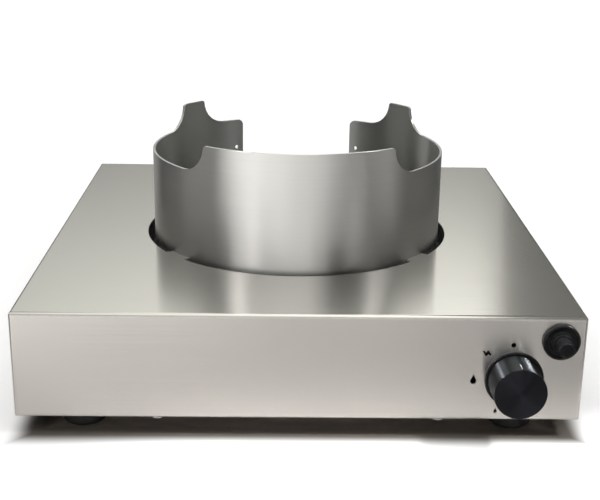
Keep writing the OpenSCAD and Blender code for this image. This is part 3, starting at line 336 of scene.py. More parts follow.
def spangled_finish(name, dark, pale, rough_low, rough_high, size):
    material, tree, shader = new_finish(name)
    place = coordinates(tree, "Object")
    cells = use_effect(tree, SPANGLE, place, Size=size)["Cells"]
    soft = use_effect(tree, GRAIN, place, Grain_size=0.0008, Cloud_size=0.05)
    shade = calc(tree, "MULTIPLY_ADD", soft["Clouds"], 0.5, times(tree, cells, 0.5))
    fill(tree, shader, Base_Color=tint(tree, shade, colour(*dark), colour(*pale)),
         Roughness=spread(tree, cells, 0.0, 1.0, rough_low, rough_high), Metallic=1.0)
    add_bump(tree, shader, soft["Grain"], 0.00001)
    return material


# Dark and pale colour, least and most roughness, anisotropy, lines to the metre across and
# along, their depth in metres, and a turned front face where a darker colour is painted as shade

BRUSHED = {
    "brushed_steel": ((0.615, 0.585, 0.555), (0.685, 0.66, 0.63),
                      0.19, 0.23, 1.0, 3600.0, 12.0, 0.000005),
    "ring_steel": ((0.77, 0.765, 0.745), (0.84, 0.835, 0.815),
                   0.27, 0.31, 0.93, 4200.0, 8.0, 0.000004),
    "knob_metal": ((0.055, 0.058, 0.062), (0.090, 0.095, 0.101),
                   0.42, 0.48, 1.0, 5200.0, 30.0, 0.000005,
                   # its front face, painted darker than the barrel as shade
                   (-0.22485, -0.2246, (0.033, 0.034, 0.041))),
}

# Dark and pale colour, metallic, least and most roughness, grain, cloud and depth in metres,
# and then specular, coat and the coat's roughness where they differ from a plain surface

GRAINED = {
    "zinc_fastener": ((0.52, 0.53, 0.54), (0.70, 0.71, 0.71),
                      1.0, 0.24, 0.38, 0.0006, 0.006, 0.00001),
    "foot_rubber": ((0.012, 0.012, 0.012), (0.022, 0.021, 0.021),
                    0.0, 0.55, 0.72, 0.0005, 0.012, 0.00003, 0.35),
    "black_enamel": ((0.007, 0.007, 0.008), (0.013, 0.013, 0.014),
                     0.0, 0.16, 0.28, 0.0022, 0.03, 0.00002, 0.5, 0.6, 0.08),
    "cast_aluminium": ((0.42, 0.42, 0.42), (0.60, 0.60, 0.59),
                       1.0, 0.42, 0.58, 0.0009, 0.02, 0.00006),
    "brass": ((0.62, 0.44, 0.17), (0.80, 0.60, 0.27),
              1.0, 0.24, 0.36, 0.0006, 0.008, 0.00001),
    "valve_brass": ((0.52, 0.38, 0.16), (0.68, 0.52, 0.25),
                    1.0, 0.32, 0.46, 0.0008, 0.010, 0.00003),
    "pipe_metal": ((0.58, 0.58, 0.57), (0.74, 0.74, 0.73),
                   1.0, 0.3, 0.42, 0.0007, 0.015, 0.00001),
    "plain_steel": ((0.42, 0.42, 0.42), (0.60, 0.60, 0.59),
                    1.0, 0.3, 0.44, 0.0007, 0.01, 0.00001),
    "spring_steel": ((0.45, 0.45, 0.46), (0.62, 0.62, 0.63),
                     1.0, 0.22, 0.32, 0.0005, 0.006, 0.000006),
    "sensor_metal": ((0.40, 0.37, 0.34), (0.58, 0.54, 0.50),
                     1.0, 0.3, 0.45, 0.0006, 0.005, 0.00001),
    "copper_lead": ((0.55, 0.27, 0.16), (0.74, 0.40, 0.27),
                    1.0, 0.28, 0.42, 0.0006, 0.012, 0.00001),
    "black_plastic": ((0.009, 0.009, 0.010), (0.017, 0.017, 0.018),
                      0.0, 0.18, 0.25, 0.0006, 0.012, 0.000004, 0.16),
    "white_paint": ((0.34, 0.34, 0.335), (0.42, 0.42, 0.415),
                    0.0, 0.4, 0.52, 0.0003, 0.003, 0.00001),
    "red_silicone": ((0.36, 0.035, 0.025), (0.48, 0.06, 0.04),
                     0.0, 0.42, 0.56, 0.0006, 0.012, 0.00001),
    "white_ceramic": ((0.72, 0.70, 0.66), (0.84, 0.82, 0.78),
                      0.0, 0.2, 0.34, 0.0005, 0.008, 0.00001, 0.5, 0.3),
    "white_nylon": ((0.66, 0.65, 0.62), (0.78, 0.77, 0.74),
                    0.0, 0.38, 0.5, 0.0006, 0.01, 0.00001),
}

FINISHES = {name: brushed_finish(name, *values) for name, values in BRUSHED.items()}
FINISHES["zinc_sheet"] = spangled_finish(
    "zinc_sheet", (0.50, 0.51, 0.52), (0.68, 0.69, 0.70), 0.32, 0.5, 0.006)
for name, values in GRAINED.items():
    FINISHES[name] = grained_finish(name, *values)


# Each CAD node wears the finish of its slot

for row in frame["record"]["subparts"]:
    node_mesh = frame["nodes"][row["node"]].data
    node_mesh.materials.clear()
    node_mesh.materials.append(FINISHES[row["material_slot"]])


# Mesh helpers

def linked(name, data):
    thing = bpy.data.objects.new(name, data)
    bpy.context.scene.collection.objects.link(thing)
    return thing


def made_mesh(work, name):
    """The mesh of a bmesh that is done with."""
    mesh = bpy.data.meshes.new(name)
    work.to_mesh(mesh)
    work.free()
    return mesh


def shown_mesh(thing):
    """The plain mesh that an object shows with its modifiers; the object itself goes."""
    bpy.context.view_layer.update()
    graph = bpy.context.evaluated_depsgraph_get()
    mesh = bpy.data.meshes.new_from_object(thing.evaluated_get(graph))
    thing.modifiers.clear()
    bpy.data.objects.remove(thing)
    return mesh


def soften(mesh, limit):
    """Corner normals weighted by area, so that flats stay flat and roundings stay smooth."""
    mesh.polygons.foreach_set("use_smooth", [True] * len(mesh.polygons))
    normals = [Vector(p.normal) for p in mesh.polygons]
    areas = [p.area for p in mesh.polygons]
    around = [[] for _ in mesh.vertices]
    for face in mesh.polygons:
        for v in face.vertices:
            around[v].append(face.index)
    least = math.cos(limit)
    corners = []
    for face in mesh.polygons:
        own = normals[face.index]
        for v in face.vertices:
            total = Vector()
            for other in around[v]:
                if normals[other].dot(own) > least:
                    total += normals[other] * areas[other]
            if total.length == 0:
                total = own.copy()
            corners.append(total.normalized())
    mesh.normals_split_custom_set(corners)


def add_piece(name, mesh, finish, body, *nodes, limit=SOFT):
    """A finished mesh as a piece that stands for CAD nodes."""
    soften(mesh, limit)
    mesh.name = name
    mesh.materials.clear()
    mesh.materials.append(FINISHES[finish])
    piece = linked(name, mesh)
    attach(piece, body)
    if nodes:
        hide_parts(*nodes)
    return piece


def eased(points, closed):
    """An outline with each corner (x, y, radius) rounded."""
    result = []
    count = len(points)
    for i, (x, y, radius) in enumerate(points):
        end = not closed and i in (0, count - 1)
        if radius == 0 or end:
            result.append((x, y))
            continue
        corner = Vector((x, y))
        back = (Vector(points[i - 1][:2]) - corner).normalized()
        ahead = (Vector(points[(i + 1) % count][:2]) - corner).normalized()
        half = back.angle(ahead) / 2
        centre = corner + (back + ahead).normalized() * (radius / math.sin(half))
        start = corner + back * (radius / math.tan(half)) - centre
        finish = corner + ahead * (radius / math.tan(half)) - centre
        first = math.atan2(start.y, start.x)
        turn = math.atan2(finish.y, finish.x) - first
        turn = (turn + math.pi) % (2 * math.pi) - math.pi
        for k in range(EASE_STEPS + 1):
            a = first + turn * k / EASE_STEPS
            result.append((centre.x + radius * math.cos(a), centre.y + radius * math.sin(a)))
    return result


def turned_mesh(corners, closed, place, to_front, steps=TURN_STEPS):
    """A turned shape from (radius, along, easing) corners; its grain runs along and round it."""
    profile = eased(corners, closed)
    middle = Vector(place)
    work = bmesh.new()
    chart = work.loops.layers.uv.new("grain")
    rings = []
    for radius, along in profile:
        ring = []
        for k in range(steps):
            a = 2 * math.pi * k / steps
            if to_front:
                offset = Vector((radius * math.cos(a), -along, radius * math.sin(a)))
            else:
                offset = Vector((radius * math.cos(a), radius * math.sin(a), along))
            if radius < 1e-7 and ring:
                ring.append(ring[0])
            else:
                ring.append(work.verts.new(middle + offset))
        rings.append(ring)
    pairs = list(zip(range(len(rings) - 1), range(1, len(rings))))
    if closed:
        pairs.append((len(rings) - 1, 0))
    run = 0.0
    for i, j in pairs:
        step = math.dist(profile[i], profile[j])
        mean = (profile[i][0] + profile[j][0]) / 2
        for k in range(steps):
            n = (k + 1) % steps
            ends = [(rings[i][k], run, k), (rings[i][n], run, k + 1),
                    (rings[j][n], run + step, k + 1), (rings[j][k], run + step, k)]
            kept = []
            for end in ends:
                if all(end[0] is not other[0] for other in kept):
                    kept.append(end)
            if len(kept) < 3:
                continue
            face = work.faces.new([end[0] for end in kept])
            for loop, end in zip(face.loops, kept):
                loop[chart].uv = (end[1], 2 * math.pi * end[2] / steps * mean)
        run += step
    bmesh.ops.recalc_face_normals(work, faces=work.faces)
    return made_mesh(work, "turned")


def bar_mesh(low, high, ease):
    """A small bar with eased edges between two corners."""
    work = bmesh.new()
    bmesh.ops.create_cube(work, size=1.0)
    low = Vector(low)
    high = Vector(high)
    for vert in work.verts:
        for k in range(3):
            vert.co[k] = (low[k] + high[k]) / 2 + vert.co[k] * (high[k] - low[k])
    ease_edges(work, list(work.edges), ease)
    return made_mesh(work, "bar")


def ease_edges(work, edges, ease, **options):
    bmesh.ops.bevel(work, geom=edges, offset=ease, segments=3, profile=0.5,
                    affect="EDGES", **options)


def prism(lower, upper):
    """A closed bmesh between two outlines of as many points."""
    work = bmesh.new()
    lower = [work.verts.new(point) for point in lower]
    upper = [work.verts.new(point) for point in upper]
    work.faces.new(upper)
    work.faces.new(lower[::-1])
    for k in range(len(lower)):
        n = (k + 1) % len(lower)
        work.faces.new((lower[k], lower[n], upper[n], upper[k]))
    bmesh.ops.recalc_face_normals(work, faces=work.faces)
    return work


# Geometry Nodes trees: they repeat a piece, roll a flat one round or follow a helix

def new_growth(name, *sockets):
    """A tree with its named inputs and a material."""
    tree = bpy.data.node_groups.new(name, "GeometryNodeTree")
    face = tree.interface
    face.new_socket(name="Geometry", in_out="INPUT", socket_type="NodeSocketGeometry")
    for label, kind, value in sockets:
        socket = face.new_socket(name=label, in_out="INPUT", socket_type="NodeSocket" + kind)
        if value is not None:
            socket.default_value = value
    face.new_socket(name="Material", in_out="INPUT", socket_type="NodeSocketMaterial")
    face.new_socket(name="Geometry", in_out="OUTPUT", socket_type="NodeSocketGeometry")
    given = tree.nodes.new("NodeGroupInput").outputs
    return tree, given, tree.nodes.new("NodeGroupOutput").inputs


def end_growth(tree, given, result, geometry):
    real = add_node(tree, "GeometryNodeRealizeInstances", Geometry=geometry)
    dress = add_node(tree, "GeometryNodeSetMaterial", Geometry=real.outputs[0],
                     Material=given["Material"])
    put(tree, result["Geometry"], dress.outputs[0])
    return tree


def repeated(tree, points, piece, spin):
    """A piece at each point, turned by spin."""
    source = add_node(tree, "GeometryNodeObjectInfo", Object=piece)
    return add_node(tree, "GeometryNodeInstanceOnPoints", Points=points,
                    Instance=source.outputs["Geometry"],
                    Rotation=three(tree, 0.0, 0.0, spin)).outputs[0]


def make_round_axis_tree():
    """Repeats a piece round an axis that leans and stands where the inputs say."""
    tree, given, result = new_growth(
        "round_an_axis", ("Piece", "Object", None), ("Count", "Int", 12),
        ("Centre", "Vector", None), ("Lean", "Vector", None))
    points = add_node(tree, "GeometryNodePoints", Count=given["Count"])
    index = tree.nodes.new("GeometryNodeInputIndex").outputs[0]
    turn = times(tree, index, calc(tree, "DIVIDE", 2 * math.pi, given["Count"]))
    copies = repeated(tree, points.outputs[0], given["Piece"], turn)
    moved = add_node(tree, "GeometryNodeTransform", Geometry=copies,
                     Translation=given["Centre"], Rotation=given["Lean"])
    return end_growth(tree, given, result, moved.outputs[0])


def make_at_points_tree():
    """Puts a fastener at each point, turned by chance as it was tightened."""
    tree, given, result = new_growth(
        "fasteners_at_points", ("Piece", "Object", None), ("Seed", "Int", 3))
    chance = tree.nodes.new("FunctionNodeRandomValue")
    chance.data_type = "FLOAT"
    least, most = [socket for socket in chance.inputs if socket.enabled][:2]
    put(tree, least, 0.0)
    put(tree, most, math.pi / 2)
    put(tree, chance.inputs["Seed"], given["Seed"])
    spin = [socket for socket in chance.outputs if socket.enabled][0]
    copies = repeated(tree, given["Geometry"], given["Piece"], spin)
    return end_growth(tree, given, result, copies)


def make_roll_tree():
    """Rolls a flat strip round a standing axis: X runs round it, Y stands up, Z is the wall."""
    tree, given, result = new_growth(
        "rolled_round", ("Middle radius", "Float", 0.1), ("Centre Y", "Float", 0.0))
    x, y, z = parts_of(tree, tree.nodes.new("GeometryNodeInputPosition").outputs[0])
    turn = calc(tree, "DIVIDE", x, given["Middle radius"])
    radius = calc(tree, "ADD", z, given["Middle radius"])
    across = times(tree, radius, calc(tree, "SINE", turn))
    back = calc(tree, "SUBTRACT", given["Centre Y"],
                times(tree, radius, calc(tree, "COSINE", turn)))
    moved = add_node(tree, "GeometryNodeSetPosition", Geometry=given["Geometry"],
                     Position=three(tree, across, back, y))
    return end_growth(tree, given, result, moved.outputs[0])


def make_helix_tree():
    """A round bead along a helix that leads to the rear: a thread's crest or a coil spring."""
    tree, given, result = new_growth(
        "helix", ("Radius", "Float", 0.01), ("Bead", "Float", 0.0005), ("Turns", "Float", 8.0),
        ("Length", "Float", 0.01), ("Start", "Vector", None))
    helix = add_node(tree, "GeometryNodeCurveSpiral", Resolution=48, Rotations=given["Turns"],
                     Start_Radius=given["Radius"], End_Radius=given["Radius"],
                     Height=given["Length"])
    bead = add_node(tree, "GeometryNodeCurvePrimitiveCircle", Resolution=6,
                    Radius=given["Bead"])
    sweep = add_node(tree, "GeometryNodeCurveToMesh", Curve=helix.outputs[0],
                     Profile_Curve=bead.outputs[0], Fill_Caps=True)
    moved = add_node(tree, "GeometryNodeTransform", Geometry=sweep.outputs[0],
                     Translation=given["Start"], Rotation=(-math.pi / 2, 0, 0))
    return end_growth(tree, given, result, moved.outputs[0])


ROUND_AXIS = make_round_axis_tree()
AT_POINTS = make_at_points_tree()
ROLL = make_roll_tree()
HELIX = make_helix_tree()


def grown(tree, base_mesh, finish, **values):
    """The plain mesh that a tree makes from a base mesh."""
    base = linked("base", base_mesh)
    modifier = base.modifiers.new("growth", "NODES")
    modifier.node_group = tree
    values = {label.replace("_", " "): value for label, value in values.items()}
    values["Material"] = FINISHES[finish]
    for item in tree.interface.items_tree:
        if item.item_type == "SOCKET" and item.in_out == "INPUT" and item.name in values:
            modifier[item.identifier] = values[item.name]
    return shown_mesh(base)


def only_points(places):
    mesh = bpy.data.meshes.new("places")
    mesh.from_pydata(places, [], [])
    return mesh


def repeat_round(mesh, count, finish, centre, lean):
    """Copies of a mesh round an axis."""
    source = linked("repeated", mesh)
    result = grown(ROUND_AXIS, only_points([]), finish, Piece=source, Count=count,
                   Centre=centre, Lean=lean)
    bpy.data.objects.remove(source)
    return result


def helix_mesh(finish, radius, bead, turns, length, start):
    return grown(HELIX, only_points([]), finish, Radius=radius, Bead=bead, Turns=turns,
                 Length=length, Start=start)


# The folded casing: the sheet's own shape with its grain along the front

def make_casing():
    work = bmesh.new()
    work.from_mesh(frame["nodes"]["casing"].data)
    bmesh.ops.remove_doubles(work, verts=work.verts, dist=0.000001)
    rim = []
    for edge in work.edges:
        if len(edge.link_faces) != 2:
            continue
        a, b = [v.co for v in edge.verts]
        if min(a.z, b.z) < TOP_Z - 0.01 * MM:
            continue
        reach = max(math.hypot(v.x, v.y - BURNER_Y) for v in (a, b))
        one, two = edge.link_faces
        if reach < CUT_OUT_REACH and abs(one.normal.dot(two.normal)) < 0.5:
            rim.append(edge)
    ease_edges(work, rim, SHEET_EASE, clamp_overlap=False)
    chart = work.loops.layers.uv.new("grain")
    for face in work.faces:
        n = face.normal
        side = abs(n.x) > max(abs(n.y), abs(n.z))
        front = abs(n.y) > abs(n.z)
        for loop in face.loops:
            p = loop.vert.co
            if side:
                loop[chart].uv = (p.y, p.z)
            elif front:
                loop[chart].uv = (p.z, p.x)
            else:
                loop[chart].uv = (p.y, p.x)
    add_piece("casing_sheet", made_mesh(work, "casing_sheet"), "brushed_steel", "range",
              "casing")


make_casing()


# The lugged ring: its outline is drawn flat, given its wall and eased edges, and rolled round.
# The drawing is in millimetres

def arc_run(centre, from_a, to_a, radius, steps=14):
    angles = [math.radians(from_a + (to_a - from_a) * k / steps) for k in range(steps + 1)]
    return [(centre[0] + radius * math.cos(a), centre[1] + radius * math.sin(a))
            for a in angles]


def ring_run(angle):
    """The way round the ring's middle radius from its front to an angle, in millimetres."""
    return math.radians(angle) * RING_MID_R / MM


def ring_outline():
    """The right half of the rolled-out outline, from the middle of the front lug."""
    front = ring_run(FRONT_LUG_NOTCH)
    side = ring_run(SIDE_NOTCH)
    rear = ring_run(REAR_NOTCH)
    end = ring_run(RING_END)
    lug = RING_LUG_Z / MM
    low = RING_LOW_Z / MM
    bottom = RING_BOTTOM_Z / MM
    seat = TOP_Z / MM
    notch = RING_NOTCH_R / MM
    edge = 2.2
    corner = 5
    points = []
    points += arc_run((front - notch - edge, lug - edge), 90, 12, edge, 6)
    points += arc_run((front, lug), 184, 270, notch)
    points += arc_run((side, lug), 270, 356, notch)
    points += arc_run((side + notch + edge, lug - edge), 168, 90, edge, 6)
    points += arc_run((rear - notch - edge, lug - edge), 90, 12, edge, 6)
    points += arc_run((rear, lug), 184, 270, notch)
    points += arc_run((end - corner, low - corner), 90, 0, corner, 8)
    points += [(end, bottom)]
    for angle in reversed(SEAT_ANGLES):
        after = ring_run(angle + SEAT_HALF)
        before = ring_run(angle - SEAT_HALF)
        points += [(after, bottom), (after, seat), (before, seat), (before, bottom)]
    return points


def ring_flat():
    """The rolled-out wall, in millimetres, with its two holes and eased edges."""
    half_wall = 1.0
    ease = 0.3
    hole_r = 1.5
    hole_high = 129.5
    hole_in = 6
    half = ring_outline()
    shapes = [half + [(-x, z) for x, z in reversed(half)]]
    for side in (-1, 1):
        hole = (side * (ring_run(RING_END) - hole_in), hole_high)
        shapes.append(arc_run(hole, 0, 345, hole_r, 23))
    drawing = bpy.data.curves.new("ring_drawing", "CURVE")
    drawing.dimensions = "2D"
    drawing.fill_mode = "BOTH"
    drawing.extrude = half_wall - ease
    drawing.bevel_depth = ease
    drawing.bevel_resolution = 2
    drawing.offset = -ease
    for shape in shapes:
        spline = drawing.splines.new("POLY")
        spline.points.add(len(shape) - 1)
        for point, (x, z) in zip(spline.points, shape):
            point.co = (x, z, 0.0, 1.0)
        spline.use_cyclic_u = True
    return shown_mesh(linked("ring_drawing", drawing))


def make_ring():
    work = bmesh.new()
    work.from_mesh(ring_flat())
    bmesh.ops.remove_doubles(work, verts=work.verts, dist=0.002)
    step = ring_run(RING_FACET)
    count = int(ring_run(RING_END) / step)
    for k in range(-count, count + 1):
        everything = list(work.verts) + list(work.edges) + list(work.faces)
        bmesh.ops.bisect_plane(work, geom=everything, plane_co=(k * step, 0, 0),
                               plane_no=(1, 0, 0), dist=0.0001)
    chart = work.loops.layers.uv.new("grain")
    for face in work.faces:
        for loop in face.loops:
            loop[chart].uv = (loop.vert.co.y * MM, loop.vert.co.x * MM)
    for vert in work.verts:
        vert.co *= MM
    mesh = grown(ROLL, made_mesh(work, "ring_flat"), "ring_steel",
                 Middle_radius=RING_MID_R, Centre_Y=BURNER_Y)
    work = bmesh.new()
    work.from_mesh(mesh)
    bmesh.ops.recalc_face_normals(work, faces=work.faces)
    work.to_mesh(mesh)
    work.free()
    add_piece("wok_ring_wall", mesh, "ring_steel", "ring", "wok_ring")


make_ring()


# Knob with its bezel and pointer line; igniter with its flange, collar, button and star.
# Their corners are (radius, distance before the front sheet, easing)

KNOB_PLACE = (KNOB_X, FRONT_Y, KNOB_Z)
IGNITER_PLACE = (IGNITER_X, FRONT_Y, IGNITER_Z)


def make_knob():
    low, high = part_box("control_knob")
    radius = (high.x - low.x) / 2
    back = -(high.y - FRONT_Y)
    face = -(low.y - FRONT_Y)
    mesh = turned_mesh([
        (0, face, 0),
        (radius, face, 0.55 * MM),
        (radius, back, 0.3 * MM),
        (0, back, 0),
    ], False, KNOB_PLACE, True, 128)
    add_piece("control_knob_barrel", mesh, "knob_metal", "knob", "control_knob")


def make_bezel():
    low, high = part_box("knob_bezel")
    radius = (high.x - low.x) / 2
    hole = (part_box("control_knob")[1].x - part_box("control_knob")[0].x) / 2 + 0.3 * MM
    front = -(low.y - FRONT_Y)
    back = -(high.y - FRONT_Y)
    sleeve = radius - 1.6 * MM
    mesh = turned_mesh([
        (hole, back, 0),
        (hole, front, 0.25 * MM),
        (radius, front, 0.6 * MM),
        (radius, 0, 0.1 * MM),
        (sleeve, 0, 0),
        (sleeve, back, 0),
    ], True, KNOB_PLACE, True)
    add_piece("knob_bezel_ring", mesh, "black_plastic", "range", "knob_bezel")


def make_pointer():
    low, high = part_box("control_knob")
    half = 0.34 * MM
    mesh = bar_mesh((KNOB_X - half, low.y + 1.8 * MM, high.z - 0.4 * MM),
                    (KNOB_X + half, low.y + 9.2 * MM, high.z + 0.12 * MM), 0.1 * MM)
    add_piece("knob_pointer_line", mesh, "white_paint", "knob", "knob_pointer")


def make_igniter():
    low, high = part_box("igniter_housing")
    radius = (high.x - low.x) / 2
    back = -(high.y - FRONT_Y)
    bore = 5.25 * MM
    collar = 6.2 * MM
    body = 9.0 * MM
    depth = 36 * MM
    mesh = turned_mesh([
        (0, -depth, 0),
        (bore, -depth, 0),
        (bore, 5.0 * MM, 0.3 * MM),
        (collar, 5.0 * MM, 0.4 * MM),
        (collar, 3.7 * MM, 0.2 * MM),
        (7.6 * MM, 3.7 * MM, 0.5 * MM),
        (7.9 * MM, 2.3 * MM, 0.4 * MM),
        (10.2 * MM, 2.4 * MM, 0.5 * MM),
        (10.7 * MM, 3.5 * MM, 0.5 * MM),
        (radius, 3.1 * MM, 1.2 * MM),
        (radius, 0, 0.3 * MM),
        (body, 0, 0),
        (body, back, 0.5 * MM),
        (0, back, 0),
    ], False, IGNITER_PLACE, True)
    add_piece("igniter_flange_and_body", mesh, "black_plastic", "range", "igniter_housing")


def make_button():
    low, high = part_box("igniter_button")
    radius = (high.x - low.x) / 2
    face = -(low.y - FRONT_Y)
    back = -(high.y - FRONT_Y)
    mesh = turned_mesh([
        (0, face - BUTTON_DISH, 0),
        (radius - 1.3 * MM, face - BUTTON_DISH, 0.1 * MM),
        (radius - 1.0 * MM, face, 0.15 * MM),
        (radius, face, 0.5 * MM),
        (radius, back, 0.3 * MM),
        (0, back, 0),
    ], False, IGNITER_PLACE, True, 64)
    add_piece("igniter_button_barrel", mesh, "black_plastic", "button", "igniter_button")
    rib = bar_mesh((0.5 * MM, -0.22 * MM, -0.2 * MM), (3.7 * MM, 0.22 * MM, 0.3 * MM),
                   0.08 * MM)
    star = repeat_round(rib, 8, "black_plastic", (IGNITER_X, low.y + BUTTON_DISH, IGNITER_Z),
                        (math.pi / 2, 0.0, 0.0))
    add_piece("igniter_button_star", star, "black_plastic", "button")


make_knob()
make_bezel()
make_pointer()
make_igniter()
make_button()


# Rubber feet; from here to the tray, corners are (radius, height, easing)

def make_foot(node):
    low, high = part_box(node)
    place = ((low.x + high.x) / 2, (low.y + high.y) / 2, 0.0)
    radius = (high.x - low.x) / 2
    bore = 2.05 * MM
    well = 7.5 * MM
    well_top = 6.0 * MM
    mesh = turned_mesh([
        (bore, well_top, 0),
        (well, well_top, 0.4 * MM),
        (well, 0, 0.8 * MM),
        (radius - 1.5 * MM, 0, 2.2 * MM),
        (radius - 0.35 * MM, high.z - 1.6 * MM, 0.3 * MM),
        (radius, high.z - 1.3 * MM, 0.3 * MM),
        (radius, high.z, 0.4 * MM),
        (bore, high.z, 0),
    ], True, place, False)
    add_piece(node + "_rubber", mesh, "foot_rubber", "range", node)


for foot in ("foot_front_left", "foot_front_right", "foot_rear_left", "foot_rear_right"):
    make_foot(foot)


# Burner crown with its ring of flame slots, burner cap and spill tray

BURNER_PLACE = (0.0, BURNER_Y, 0.0)


def make_crown():
    low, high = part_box("burner_crown")
    outer = (high.x - low.x) / 2
    inner = outer - 14 * MM
    collar = outer - 5.3 * MM
    seat = low.z + 4 * MM
    floor = high.z - 4 * MM
    mesh = turned_mesh([
        (inner, seat, 0.3 * MM),
        (outer - 11.3 * MM, low.z, 0.3 * MM),
        (collar, low.z, 0.4 * MM),
        (collar, seat, 0.3 * MM),
        (outer, seat, 0.6 * MM),
        (outer, floor, 0.2 * MM),
        (inner, floor, 0.2 * MM),
    ], True, BURNER_PLACE, False, 144)
    add_piece("burner_crown_body", mesh, "brass", "crown", "burner_crown")
    inner_run = (inner + 0.1 * MM, (-1, 1))
    outer_run = (outer - 0.05 * MM, (1, 0.5, 0, -0.5, -1))
    plan = []
    for radius, shares in (inner_run, outer_run):
        reach = math.pi / CROWN_TEETH - math.asin(CROWN_SLOT_HALF / radius)
        for share in shares:
            a = reach * share
            plan.append((radius * math.cos(a), radius * math.sin(a)))
    work = prism([(x, y, floor - 0.2 * MM) for x, y in plan],
                 [(x, y, high.z) for x, y in plan])
    rim = [e for e in work.edges if min(v.co.z for v in e.verts) > high.z - 0.01 * MM]
    ease_edges(work, rim, 0.35 * MM)
    teeth = repeat_round(made_mesh(work, "tooth"), CROWN_TEETH, "brass", BURNER_PLACE,
                         (0.0, 0.0, 0.0))
    add_piece("burner_crown_teeth", teeth, "brass", "crown")


def make_cap():
    low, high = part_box("burner_cap")
    outer = (high.x - low.x) / 2
    collar = outer - 16.3 * MM
    bore = outer - 20.3 * MM
    base = low.z + 4 * MM
    dome = 3.85 * MM
    steps = 15
    curve = (outer * outer + dome * dome) / (2 * dome)
    corners = []
    for k in range(steps):
        x = outer * k / steps
        corners.append((x, high.z - curve + math.sqrt(curve * curve - x * x), 0))
    corners += [
        (outer, high.z - dome, 1.2 * MM),
        (outer, base, 0.6 * MM),
        (collar, base, 0.3 * MM),
        (collar, low.z, 0.4 * MM),
        (bore, low.z, 0.4 * MM),
        (bore, base, 0.3 * MM),
        (0, base, 0),
    ]
    mesh = turned_mesh(corners, False, BURNER_PLACE, False, 144)
    add_piece("burner_cap_lid", mesh, "black_enamel", "cap", "burner_cap")


def make_tray():
    low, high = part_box("spill_tray")
    rim = (high.x - low.x) / 2
    wall = rim - 12 * MM
    collar = low.z + 8 * MM
    mesh = turned_mesh([
        (TRAY_MIDDLE_R, low.z, 1.4 * MM),
        (wall, low.z, 3.6 * MM),
        (wall, high.z - TRAY_SHEET, 0.8 * MM),
        (rim, high.z - TRAY_SHEET, 0.4 * MM),
        (rim, high.z, 0.4 * MM),
        (wall - TRAY_SHEET, high.z, 1.6 * MM),
        (wall - TRAY_SHEET, low.z + TRAY_SHEET, 2.4 * MM),
        (TRAY_MIDDLE_R + TRAY_SHEET, low.z + TRAY_SHEET, 0.8 * MM),
        (TRAY_MIDDLE_R + TRAY_SHEET, collar, 0.55 * MM),
        (TRAY_MIDDLE_R, collar, 0.55 * MM),
    ], True, BURNER_PLACE, False, 160)
    add_piece("spill_tray_pan", mesh, "black_enamel", "range", "spill_tray")


make_crown()
make_cap()
make_tray()


# Gas inlet with its hexagon and thread; corners are (radius, distance before the rear, easing)

def make_inlet():
    low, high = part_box("gas_inlet")
    centre = ((low.x + high.x) / 2, REAR_Y, (low.z + high.z) / 2)
    crest = 10.48 * MM
    core = 9.7 * MM
    jet_bore = 3.0 * MM
    pipe_bore = 6.0 * MM
    hose_bore = 6.5 * MM
    mesh = turned_mesh([
        (jet_bore, 29 * MM, 0.2 * MM),
        (pipe_bore, 29 * MM, 0.4 * MM),
        (pipe_bore, 15 * MM, 0.2 * MM),
        (crest, 15 * MM, 0.3 * MM),
        (crest, -5.6 * MM, 0.2 * MM),
        (core, -6.2 * MM, 0.2 * MM),
        (core, -22.8 * MM, 0.2 * MM),
        (9.1 * MM, -24 * MM, 0.3 * MM),
        (hose_bore, -24 * MM, 0.4 * MM),
        (hose_bore, 0, 0.2 * MM),
        (jet_bore, 0, 0.2 * MM),
    ], True, centre, True)
    add_piece("gas_inlet_stem", mesh, "brass", "range", "gas_inlet")
    across = 13.5 * MM / math.cos(math.pi / 6)
    chamfer = 13.4 * MM
    mesh = turned_mesh([
        (core, 0, 0),
        (chamfer, 0, 0),
        (across, -0.9 * MM, 0),
        (across, -4.1 * MM, 0),
        (chamfer, -5 * MM, 0),
        (core, -5 * MM, 0),
    ], True, centre, True, 6)
    add_piece("gas_inlet_hexagon", mesh, "brass", "range", limit=0.4)
    bead = 0.55 * MM
    thread = helix_mesh("brass", crest - bead, bead, 8.6, 15.6 * MM,
                        (centre[0], REAR_Y + 6.9 * MM, centre[2]))
    add_piece("gas_inlet_thread", thread, "brass", "range", limit=SOFT_ALL)


make_inlet()


# Springs

def make_spring(node, body):
    """A coil of wire that fills its node's box, from its front end to its rear end."""
    low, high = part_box(node)
    length = high.y - low.y
    radius = (high.z - low.z - SPRING_WIRE) / 2
    middle_x = (low.x + high.x) / 2
    middle_z = (low.z + high.z) / 2
    mesh = helix_mesh("spring_steel", radius, SPRING_WIRE / 2, SPRING_TURNS,
                      length - SPRING_WIRE, (middle_x, low.y + SPRING_WIRE / 2, middle_z))
    piece = add_piece(node + "_coil", mesh, "spring_steel", body, node, limit=SOFT_ALL)
    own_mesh(piece)


make_spring("igniter_spring", "range")
make_spring("spindle_spring", "plug")


# Screws and rivets of the base; corners are (radius, height, easing)

